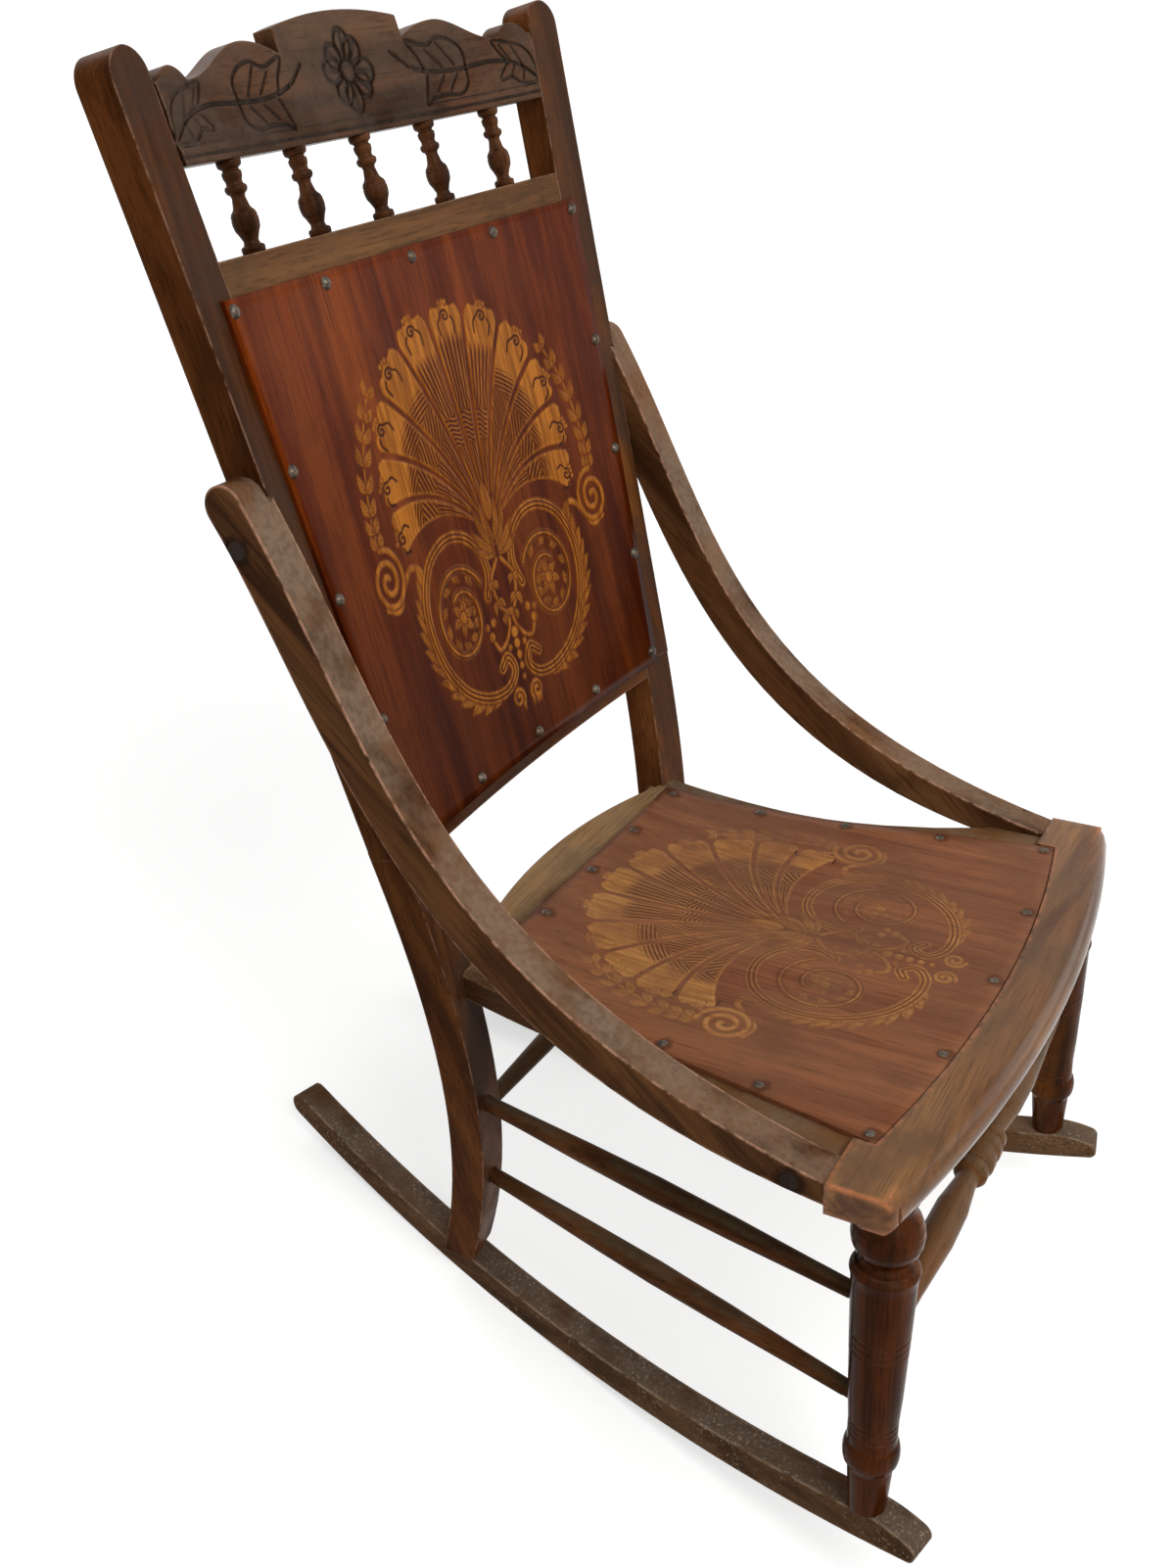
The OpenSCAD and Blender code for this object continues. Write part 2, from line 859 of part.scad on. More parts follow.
module rolled_section() {
  translate([bow_in_r, rail_low])
    square([bow_w - roll_top_r, seat_rail_t]);
  translate([bow_in_r, rail_low + roll_low_r])
    square([bow_w, seat_rail_t - roll_low_r - roll_top_r]);
  translate([bow_in_r, rail_low])
    square([bow_w - roll_low_r, roll_low_r]);
  translate([bow_r - roll_top_r, seat_z - roll_top_r])
    circle(r = roll_top_r);
  translate([bow_r - roll_low_r, rail_low + roll_low_r])
    circle(r = roll_low_r);
}

corner_y = bow_centre_y - sqrt(bow_r * bow_r - front_half * front_half);
module front_plan() {
  translate([-front_half + corner_r, bow_y - over])
    square([front_half + front_half - corner_r - corner_r, front_back_y - bow_y + over]);
  translate([-front_half, corner_y + corner_r])
    square([front_half + front_half, front_back_y - corner_y - corner_r]);
  for (s = [-1, 1])
    translate([s * (front_half - corner_r), corner_y + corner_r])
      circle(r = corner_r);
}

// outer edge of a side rail: shares of the way outward and of the way to the front
side_flare_shares = [[0, 0], [0.11, 0.35], [0.19, 0.49], [0.32, 0.6],
  [0.54, 0.73], [0.79, 0.84], [1, 0.91], [1, 1]];
side_flare = [for (s = side_flare_shares) [lerp(side_out_back, side_out_front, s[0]), front_back_y * s[1]]];

module side_rail_body() {
  difference() {
    intersection() {
      seat_slab(seat_t, seat_rail_t);
      plan(0, reach)
        polygon(concat([[side_in_front, front_back_y], [side_in_back, rear_front_y], [side_in_back, 0]],
                       side_flare));
    }
    post_body(1);
    arm_frame()
      translate([0, -reach / 2, 0])
        cube([reach, reach, reach]);
  }
}

module side_rail_dowel(gap) {
  x = (side_in_front + panel_front_half) / 2;
  z = (rail_top + rail_low) / 2;
  rod([x, front_back_y - peg_in - gap, z], [x, front_back_y + peg_in, z], peg_r + gap);
}

module side_rail(side) {
  at_rest()
    difference() {
      sided(side) {
        side_rail_body();
        side_rail_dowel(0);
      }
      sided(side)
        arm_screw_cut();
      tack_shanks(fit);
    }
}

rear_half = 156;
rear_rise = rear_mid_y - rear_end_y;
rear_r = (rear_half * rear_half + rear_rise * rear_rise) / (2 * rear_rise);
module seat_rear_rail() {
  color(wood)
    at_rest()
      difference() {
        union() {
          intersection() {
            seat_slab(seat_t, seat_rail_t);
            plan(0, reach)
              intersection() {
                union() {
                  translate([-side_in_back, rear_front_y])
                    square([side_in_back + side_in_back, -rear_front_y]);
                  translate([-rear_half - peg_in, 0])
                    square([rear_half + rear_half + peg_in + peg_in, rear_mid_y]);
                }
                translate([0, rear_mid_y - rear_r])
                  circle(r = rear_r, $fn = big_fn);
              }
          }
          both()
            rear_peg(0);
        }
        both()
          difference() {
            post_body(1);
            rear_peg(0);
          }
        tack_shanks(fit);
      }
}

module seat_panel() {
  color(panel_dull)
    at_rest()
      difference() {
        intersection() {
          seat_slab(0, seat_t);
          plan(0, reach)
            intersection() {
              translate([0, bow_centre_y])
                circle(r = bow_in_r - fit, $fn = big_fn);
              polygon([
                [-panel_front_half + fit, bow_y], [panel_front_half - fit, bow_y],
                [panel_front_half - fit, bow_centre_y - bow_in_r * cos(asin(panel_front_half / bow_in_r))],
                [panel_back_half, panel_back_y], [-panel_back_half, panel_back_y],
                [-panel_front_half + fit,
                  bow_centre_y - bow_in_r * cos(asin(panel_front_half / bow_in_r))]]);
            }
        }
        tack_shanks(fit);
      }
}

// places of the seat nails: shares of the panel's half width, and of its depth from back to front
tack_row_shares = [-1, -0.5, 0, 0.5, 1];
tack_side_shares = [0.26, 0.485, 0.725];
panel_corner_y = bow_centre_y - sqrt(bow_in_r * bow_in_r - panel_front_half * panel_front_half);
function panel_half(t) = lerp(panel_back_half, panel_front_half, t);

module tack_at(x, y) {
  translate([x, y, seat_z + seat_rise(y)])
    rotate([seat_slope(y), 0, 0])
      children();
}

module tack_places() {
  for (t = tack_row_shares) {
    front_x = t * (panel_front_half - tack_in);
    tack_at(front_x, bow_centre_y - sqrt(pow(bow_in_r - tack_in, 2) - front_x * front_x))
      children();
    tack_at(t * (panel_back_half - tack_in), panel_back_y - tack_in)
      children();
  }
  for (side = [-1, 1])
    for (t = tack_side_shares)
      tack_at(side * (panel_half(t) - tack_in), lerp(panel_back_y, panel_corner_y, t))
        children();
}

module tack_shanks(gap) {
  tack_places()
    translate([0, 0, -nail_l - gap])
      cylinder(h = nail_l + gap + over, r = nail_r + gap, $fn = curve_steps);
}

module seat_panel_nails() {
  color(metal)
    at_rest()
      tack_places() {
        dome(tack_r, tack_h);
        translate([0, 0, -nail_l])
          cylinder(h = nail_l + tack_h / 2, r = nail_r, $fn = curve_steps);
      }
}

// arms

module arm_frame() {
  translate([arm_in_x, arm_post_y, 0])
    rotate([0, 0, arm_turn])
      translate([0, -arm_post_y, 0])
        children();
}

arm_steps = 32;
// curve points of the arm's two edges: shares of the way forward and of the way down to the front end
arm_over_shares = [[0.236, 0.38], [0.263, 0.824]];
arm_under_shares = [[0.145, 0.3], [0.226, 0.917]];
arm_front_y = front_back_y - over;
function arm_edge(side, low, shares) =
  let (start = [arm_end_y + side * arm_end_r * cos(arm_end_angle),
                arm_end_z - side * arm_end_r * sin(arm_end_angle)])
  concat([start], [for (s = shares) [lerp(arm_end_y, arm_front_y, s[0]), lerp(start[1], low, s[1])]],
    [[arm_front_y, low]]);
arm_over = arm_edge(-1, arm_front_z, arm_over_shares);
arm_under = arm_edge(1, arm_front_z - arm_front_t, arm_under_shares);
function edge(c) = [for (i = [0:arm_steps]) let (t = i / arm_steps) bezier(c[0], c[1], c[2], c[3], t)];

module arm_body() {
  difference() {
    arm_frame()
      board(arm_w) {
        polygon(concat(edge(arm_over), [for (i = [arm_steps:-1:0]) edge(arm_under)[i]]));
        translate([arm_end_y, arm_end_z])
          circle(r = arm_end_r);
      }
    translate([0, front_back_y - reach, 0])
      cube([reach, reach, reach]);
  }
}

screw_r = 2.2;
screw_head_r = 4.6;
screw_head = 3;
screw_in = 20;
// places of an arm's screws, from the middle of its upper end and from its front end
arm_screw_back = 5.5;
arm_screw_top = 26;
arm_screw_front = 23;
arm_screw_low = 6.5;
arm_screw_places = [
  [arm_end_y - arm_screw_back, arm_end_z - arm_screw_top],
  [front_back_y + arm_screw_front, arm_front_z - arm_screw_low]];

module arm_screw_each() {
  arm_frame()
    for (p = arm_screw_places)
      translate([arm_w, p[0], p[1]])
        rotate([0, -90, 0])
          children();
}

module arm_screw_cut() {
  arm_screw_each() {
    translate([0, 0, -over])
      cylinder(h = arm_w + screw_in + over + fit, r = screw_r + fit);
    translate([0, 0, -over])
      cylinder(h = plug_t + screw_head + fit + over, r = plug_r + fit / 2);
  }
}

module arm(side) {
  at_rest()
    sided(side)
      difference() {
        arm_body();
        arm_screw_cut();
      }
}

module arm_screws() {
  color(metal)
    at_rest()
      both()
        arm_screw_each() {
          translate([0, 0, plug_t + fit])
            cylinder(h = arm_w + screw_in - plug_t - fit, r = screw_r);
          translate([0, 0, plug_t + fit])
            cylinder(h = screw_head, r = screw_head_r);
        }
}

module arm_plugs() {
  color(plug_dark)
    at_rest()
      both()
        arm_screw_each()
          cylinder(h = plug_t, r = plug_r);
}

// front legs

leg_top_z = rail_low;
leg_shoulder_z = 266;
function leg_at(z) = [leg_x + (leg_shoulder_z - z) * tan(leg_splay), leg_y, z];
leg_foot_z = 45;
// height at which a leg lands on its runner, before leaning
leg_land_z = 68;
// turned outline of a leg: share of the height, and share of the named radius
leg_foot_shares = [[0, 1], [0.058, 1.05], [0.19, 1.28], [0.212, 1.3]];
leg_collar_shares = [[0.222, 0.87], [0.232, 0.965], [0.246, 1], [0.263, 1], [0.277, 0.96], [0.287, 0.87]];
leg_low_shares = [[0.313, 1], [0.316, 0.955], [0.32, 1], [0.33, 1], [0.334, 0.955], [0.337, 1], [0.347, 1],
  [0.351, 0.955], [0.354, 1.01], [0.42, 1.08]];
leg_high_shares = [[0.551, 0.91], [0.558, 0.915], [0.561, 0.885], [0.565, 0.92],
  [0.578, 0.925], [0.582, 0.895],
  [0.585, 0.93], [0.599, 0.935], [0.602, 0.905], [0.606, 0.94], [0.749, 1]];
leg_shoulder_shares = [[0.765, 0.975], [0.773, 1], [0.779, 0.985], [0.785, 0.93],
  [0.787, 0.885], [0.79, 0.88],
  [0.795, 0.76], [0.803, 0.695], [0.812, 0.715], [0.818, 0.79], [0.825, 0.83]];
leg_ball_shares = [[0.832, 0.89], [0.849, 0.97], [0.87, 1], [0.89, 0.975],
  [0.911, 0.88], [0.928, 0.74], [0.938, 0.69],
  [0.949, 0.71], [0.966, 0.81], [1, 0.82]];
leg_parts = [[leg_foot_shares, leg_foot_r], [leg_collar_shares, leg_collar_r], [leg_low_shares, leg_low_r],
  [leg_high_shares, leg_high_r], [leg_shoulder_shares, leg_shoulder_r], [leg_ball_shares, leg_ball_r]];

module leg_body() {
  low = leg_at(leg_foot_z);
  high = leg_at(leg_top_z);
  turned(low, high, [for (part = leg_parts) for (p = part[0]) [p[0], p[1] * part[1]]]);
}

module leg_pin_high(gap) {
  rod(leg_at(leg_top_z - over), leg_at(leg_top_z + leg_pin_up + gap), leg_pin_r + gap);
}

module leg_pin_low(gap) {
  rod(leg_at(leg_land_z - leg_pin_down - gap), leg_at(leg_land_z + over + over), leg_pin_r + gap);
}

module front_leg(side) {
  difference() {
    union() {
      intersection() {
        at_rest()
          sided(side)
            leg_body();
        above_runner(side);
      }
      at_rest()
        sided(side) {
          leg_pin_high(0);
          leg_pin_low(0);
        }
    }
    at_rest()
      sided(side)
        stretcher_pins_front(fit);
  }
}

// stretchers

bar_in = 10;
// how much thinner the pins are than the stretchers' ends
pin_waste = 0.4;
// distance of the side stretchers from the posts' inner faces
side_bar_in = 15;
side_bar_shares = [[0, 0.66], [0.1, 0.72], [0.3, 0.9], [0.5, 1], [0.7, 0.9], [0.9, 0.72], [1, 0.66]];
function back_pin(z) = [inner_x(z) + side_bar_in, post_y_at(z), z];
function post_y_at(z) = bezier(post_bend_y, post_knee_y, post_shin_y, post_foot_y,
  (post_bend_z - z) / (post_bend_z - post_foot_z));
function side_bar_a(zb) = back_pin(zb);
function side_bar_b(zf) = leg_at(zf);
function along(a, b, d) = a + (b - a) * d / norm(b - a);

module side_bar_pin_back(zb, zf, gap) {
  a = side_bar_a(zb);
  b = side_bar_b(zf);
  rod(along(a, b, -bar_in - gap), along(a, b, bar_in), bar_end_r + gap);
}

module side_bar_pin_front(zb, zf, gap) {
  a = side_bar_a(zb);
  b = side_bar_b(zf);
  rod(along(b, a, bar_in - gap / 2), along(b, a, leg_high_r + bar_in + over), bar_end_r + gap);
}

module stretcher_pins_back(gap) {
  side_bar_pin_back(upper_back_z, upper_front_z, gap);
  side_bar_pin_back(lower_back_z, lower_front_z, gap);
  rear_bar(gap);
}

module stretcher_pins_front(gap) {
  side_bar_pin_front(upper_back_z, upper_front_z, gap);
  side_bar_pin_front(lower_back_z, lower_front_z, gap);
  rod([0, leg_y, front_bar_z],
      [leg_at(front_bar_z)[0] - bar_in + gap / 2, leg_y, front_bar_z], bar_end_r + gap);
}

module side_stretcher(side, zb, zf) {
  a = side_bar_a(zb);
  b = side_bar_b(zf);
  p = along(a, b, over / 2);
  q = along(b, a, leg_high_r + over / 2);
  at_rest()
    sided(side) {
      turned(p, q, [for (k = side_bar_shares) [k[0], k[1] * side_bar_r]]);
      rod(along(a, b, -bar_in), along(b, a, bar_in), bar_end_r - pin_waste);
    }
}

rear_bar_y = 7;
module rear_bar(gap) {
  x = face_x(rear_bar_z) + bar_in + gap;
  rod([-x, rear_bar_y, rear_bar_z], [x, rear_bar_y, rear_bar_z], bar_end_r - pin_waste + gap);
}

module rear_stretcher() {
  x = face_x(rear_bar_z) - over;
  color(wood_dark)
    at_rest() {
      turned([-x, rear_bar_y, rear_bar_z], [x, rear_bar_y, rear_bar_z],
        [for (k = side_bar_shares) [k[0], k[1] * side_bar_r]]);
      rear_bar(0);
    }
}

front_bar_shares = [[0, 0.56], [0.1, 0.66], [0.24, 0.9], [0.33, 0.86], [0.4, 0.62], [0.425, 0.58]];
front_ring_shares = [
  [0.43, 0.8], [0.437, 0.92], [0.452, 0.92], [0.458, 0.8],
  [0.464, 0.92], [0.47, 1], [0.488, 1], [0.495, 0.9]];
front_half_shares = concat(front_bar_shares, front_ring_shares);
module front_stretcher() {
  x = leg_at(front_bar_z)[0] - leg_high_r + over;
  color(wood)
    at_rest() {
      turned([-x, leg_y, front_bar_z], [x, leg_y, front_bar_z],
        [for (k = concat(front_half_shares, [for (i = [len(front_half_shares) - 1:-1:0])
          [1 - front_half_shares[i][0], front_half_shares[i][1]]])) [k[0], k[1] * front_bar_r]]);
      rod([-x - over - over, leg_y, front_bar_z], [x + over + over, leg_y, front_bar_z], bar_end_r);
    }
}

// the pieces, each under its node's name

module runner_left() {
  color(wood_worn)
    runner(-1);
}

module runner_right() {
  color(wood_worn)
    runner(1);
}

module back_post_left() {
  color(wood_dark)
    post(-1);
}

module back_post_right() {
  color(wood_dark)
    post(1);
}

module front_leg_left() {
  color(wood)
    front_leg(-1);
}

module front_leg_right() {
  color(wood)
    front_leg(1);
}

module spindle_1() {
  color(wood_dark)
    spindle(-2);
}

module spindle_2() {
  color(wood_dark)
    spindle(-1);
}

module spindle_3() {
  color(wood_dark)
    spindle(0);
}

module spindle_4() {
  color(wood_dark)
    spindle(1);
}

module spindle_5() {
  color(wood_dark)
    spindle(2);
}

module back_mid_rail() {
  color(wood_dark)
    back_rail(mid_low, mid_high);
}

module back_lower_rail() {
  color(wood_dark)
    back_rail(low_low, low_high);
}

module seat_side_rail_left() {
  color(wood)
    side_rail(-1);
}

module seat_side_rail_right() {
  color(wood)
    side_rail(1);
}

module arm_left() {
  color(wood_worn)
    arm(-1);
}

module arm_right() {
  color(wood_worn)
    arm(1);
}

module side_stretcher_upper_left() {
  color(wood_dark)
    side_stretcher(-1, upper_back_z, upper_front_z);
}

module side_stretcher_upper_right() {
  color(wood_dark)
    side_stretcher(1, upper_back_z, upper_front_z);
}

module side_stretcher_lower_left() {
  color(wood_dark)
    side_stretcher(-1, lower_back_z, lower_front_z);
}

module side_stretcher_lower_right() {
  color(wood_dark)
    side_stretcher(1, lower_back_z, lower_front_z);
}

runner_left();
runner_right();
back_post_left();
back_post_right();
front_leg_left();
front_leg_right();
crest_rail();
spindle_1();
spindle_2();
spindle_3();
spindle_4();
spindle_5();
back_mid_rail();
back_lower_rail();
back_panel();
back_panel_nails();
seat_front_rail();
seat_side_rail_left();
seat_side_rail_right();
seat_rear_rail();
seat_panel();
seat_panel_nails();
arm_left();
arm_right();
arm_screws();
arm_plugs();
front_stretcher();
rear_stretcher();
side_stretcher_upper_left();
side_stretcher_upper_right();
side_stretcher_lower_left();
side_stretcher_lower_right();
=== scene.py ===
"""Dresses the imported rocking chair: camera, light, carved and pressed pieces, and wood finishes."""

import math

import bpy
import numpy as np
from mathutils import Matrix, Vector
from mathutils.bvhtree import BVHTree


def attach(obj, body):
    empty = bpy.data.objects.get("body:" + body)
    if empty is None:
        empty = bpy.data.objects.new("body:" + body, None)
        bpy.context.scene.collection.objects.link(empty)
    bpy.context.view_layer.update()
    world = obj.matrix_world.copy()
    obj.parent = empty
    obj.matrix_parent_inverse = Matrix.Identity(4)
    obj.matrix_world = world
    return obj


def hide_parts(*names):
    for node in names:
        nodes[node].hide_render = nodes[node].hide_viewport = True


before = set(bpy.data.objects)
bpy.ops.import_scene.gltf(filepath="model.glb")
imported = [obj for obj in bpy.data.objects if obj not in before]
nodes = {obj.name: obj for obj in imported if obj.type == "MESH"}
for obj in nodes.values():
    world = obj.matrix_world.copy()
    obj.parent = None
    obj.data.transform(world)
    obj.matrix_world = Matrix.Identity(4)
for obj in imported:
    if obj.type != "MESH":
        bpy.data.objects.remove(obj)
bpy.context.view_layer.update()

# pose of the level chair in the row frame, in metres, as the part's source has it
REST_LEAN = math.radians(12.9)
ROCK_CENTRE = (-0.2086, 1.0546)
ROCK_HEIGHT = 1.01688
MIDDLE_SHIFT = 0.017

# the back's own frame: x across, w out behind, v up the back, in millimetres
BACK_LEAN = math.radians(12.33)
BACK_FOOT = (21.5, 478.0)
ACROSS = (1, 0, 0)


def leaned(points):
    """Level-chair directions or offsets, turned into the row frame."""
    p = np.asarray(points, float)
    c, s = math.cos(REST_LEAN), math.sin(REST_LEAN)
    return np.stack([p[..., 0], p[..., 1] * c + p[..., 2] * s, p[..., 2] * c - p[..., 1] * s], -1)


def chair(points_mm):
    """Points of the level chair in millimetres, as row frame metres."""
    p = np.asarray(points_mm, float) / 1000
    p = leaned(p - np.array([0, ROCK_CENTRE[0], ROCK_CENTRE[1]]))
    return p + np.array([0, MIDDLE_SHIFT, ROCK_HEIGHT])


def back_point(x, w, v):
    """Points of the back's frame in millimetres, as row frame metres."""
    c, s = math.cos(BACK_LEAN), math.sin(BACK_LEAN)
    y = BACK_FOOT[0] + w * c + v * s
    z = BACK_FOOT[1] - w * s + v * c
    return chair(np.stack(np.broadcast_arrays(x, y, z), -1))


# camera

CAMERA_AT = (-976.0, -588.4, 1028.3)
CAMERA_AZIMUTH = math.radians(-59.47)
CAMERA_RISE = math.radians(27.17)
CAMERA_ROLL = math.radians(-2.85)
LENS = 37.916

back = np.array([
    math.sin(CAMERA_AZIMUTH) * math.cos(CAMERA_RISE),
    -math.cos(CAMERA_AZIMUTH) * math.cos(CAMERA_RISE),
    math.sin(CAMERA_RISE),
])
across = np.cross(-back, [0, 0, 1])
across /= np.linalg.norm(across)
upward = np.cross(across, -back)
side = math.cos(CAMERA_ROLL) * across + math.sin(CAMERA_ROLL) * upward
head = math.cos(CAMERA_ROLL) * upward - math.sin(CAMERA_ROLL) * across
columns = [leaned(axis) for axis in (side, head, back)] + [chair(CAMERA_AT)]
camera_data = bpy.data.cameras.new("camera")
camera_data.sensor_fit = "AUTO"
camera_data.sensor_width = 36
camera_data.lens = LENS
camera_data.clip_start = 0.05
camera_data.clip_end = 50
camera = bpy.data.objects.new("camera", camera_data)
camera.matrix_world = Matrix([
    [columns[c][r] for c in range(4)] for r in range(3)
] + [[0, 0, 0, 1]])
bpy.context.scene.collection.objects.link(camera)
bpy.context.scene.camera = camera
bpy.context.scene.view_settings.view_transform = "Standard"


# node graphs

class Graph:
    """A small helper that adds shader nodes to one tree and links them."""

    def __init__(self, tree):
        self.tree = tree
        tree.nodes.clear()

    def node(self, kind, inputs=(), **settings):
        made = self.tree.nodes.new(kind)
        for name, value in settings.items():
            setattr(made, name, value)
        for key, value in dict(inputs).items():
            self.put(made.inputs[key], value)
        return made

    def put(self, socket, value):
        if isinstance(value, bpy.types.NodeSocket):
            self.tree.links.new(value, socket)
        elif socket.type == "RGBA":
            socket.default_value = (*value, 1)[:4]
        else:
            socket.default_value = value

    def math(self, kind, a, b=0.0, clamp=False):
        return self.node("ShaderNodeMath", {0: a, 1: b}, operation=kind, use_clamp=clamp).outputs[0]

    def ramp(self, value, low, high, to_low=0.0, to_high=1.0):
        """Value from low to high, smoothly, as to_low to to_high."""
        return self.node(
            "ShaderNodeMapRange",
            {"Value": value, "From Min": low, "From Max": high, "To Min": to_low, "To Max": to_high},
            interpolation_type="SMOOTHSTEP",
        ).outputs["Result"]

    def mix(self, share, a, b):
        made = self.node("ShaderNodeMix", data_type="RGBA", blend_type="MIX")
        self.put(made.inputs["Factor"], share)
        colours = [s for s in made.inputs if s.type == "RGBA"]
        self.put(colours[0], a)
        self.put(colours[1], b)
        return [s for s in made.outputs if s.type == "RGBA"][0]

    def noise(self, where, scale, detail=3.0, roughness=0.55, distortion=0.0):
        return self.node(
            "ShaderNodeTexNoise",
            {
                "Vector": where,
                "Scale": scale,
                "Detail": detail,
                "Roughness": roughness,
                "Distortion": distortion,
            },
        ).outputs["Fac"]

    def dot(self, vector, axis):
        made = self.node("ShaderNodeVectorMath", {0: vector, 1: axis}, operation="DOT_PRODUCT")
        return made.outputs["Value"]

    def attribute(self, name):
        return self.node("ShaderNodeAttribute", attribute_name=name).outputs["Fac"]

    def seen(self):
        """One for the rays that show the surroundings, nought for those that only light."""
        rays = self.node("ShaderNodeLightPath").outputs
        mirrored = self.math("MAXIMUM", rays["Is Glossy Ray"], rays["Is Transmission Ray"])
        return self.math("MAXIMUM", rays["Is Camera Ray"], mirrored)


def unit(v):
    v = np.asarray(v, float)
    return v / np.linalg.norm(v)


def grain_frame(axis):
    """Grain direction and two directions across it."""
    along = unit(axis)
    spare = np.array([0.0, 0, 1]) if abs(along[2]) < 0.8 else np.array([1.0, 0, 0])
    over = unit(np.cross(spare, along))
    return along, over, np.cross(along, over)


def grain_vector(g, where, axis, stretch):
    """Coordinates that are drawn out along the grain."""
    along, over, out = grain_frame(axis)
    return g.node("ShaderNodeCombineXYZ", {
        "X": g.math("MULTIPLY", g.dot(where, tuple(along)), 1.0 / stretch),
        "Y": g.dot(where, tuple(over)),
        "Z": g.dot(where, tuple(out)),
    }).outputs[0]


# points of a node that lie nearer than this, in metres, belong to the same small piece
GROUP_REACH = 0.022


def middles_of(name, top):
    """Middles of the like pieces in a CAD node, each taken over its upper part only."""
    placed = nodes[name].matrix_world
    points = np.array([tuple(placed @ v.co) for v in nodes[name].data.vertices])
    middles = []
    while len(points):
        near = np.linalg.norm(points - points[0], axis=1) < GROUP_REACH
        own = points[near]
        middles.append(own[own[:, 2] >= own[:, 2].max() - top].mean(axis=0))
        points = points[~near]
    return middles


def stain_distance(g, where, stains):
    """Distance to the nearest stain."""
    away = None
    for middle in stains:
        there = tuple(float(c) for c in middle)
        made = g.node("ShaderNodeVectorMath", {0: where, 1: there}, operation="DISTANCE")
        d = made.outputs["Value"]
        away = d if away is None else g.math("MINIMUM", away, d)
    return away


# how strongly the pores darken the wood
PORE_SHARE = 0.5


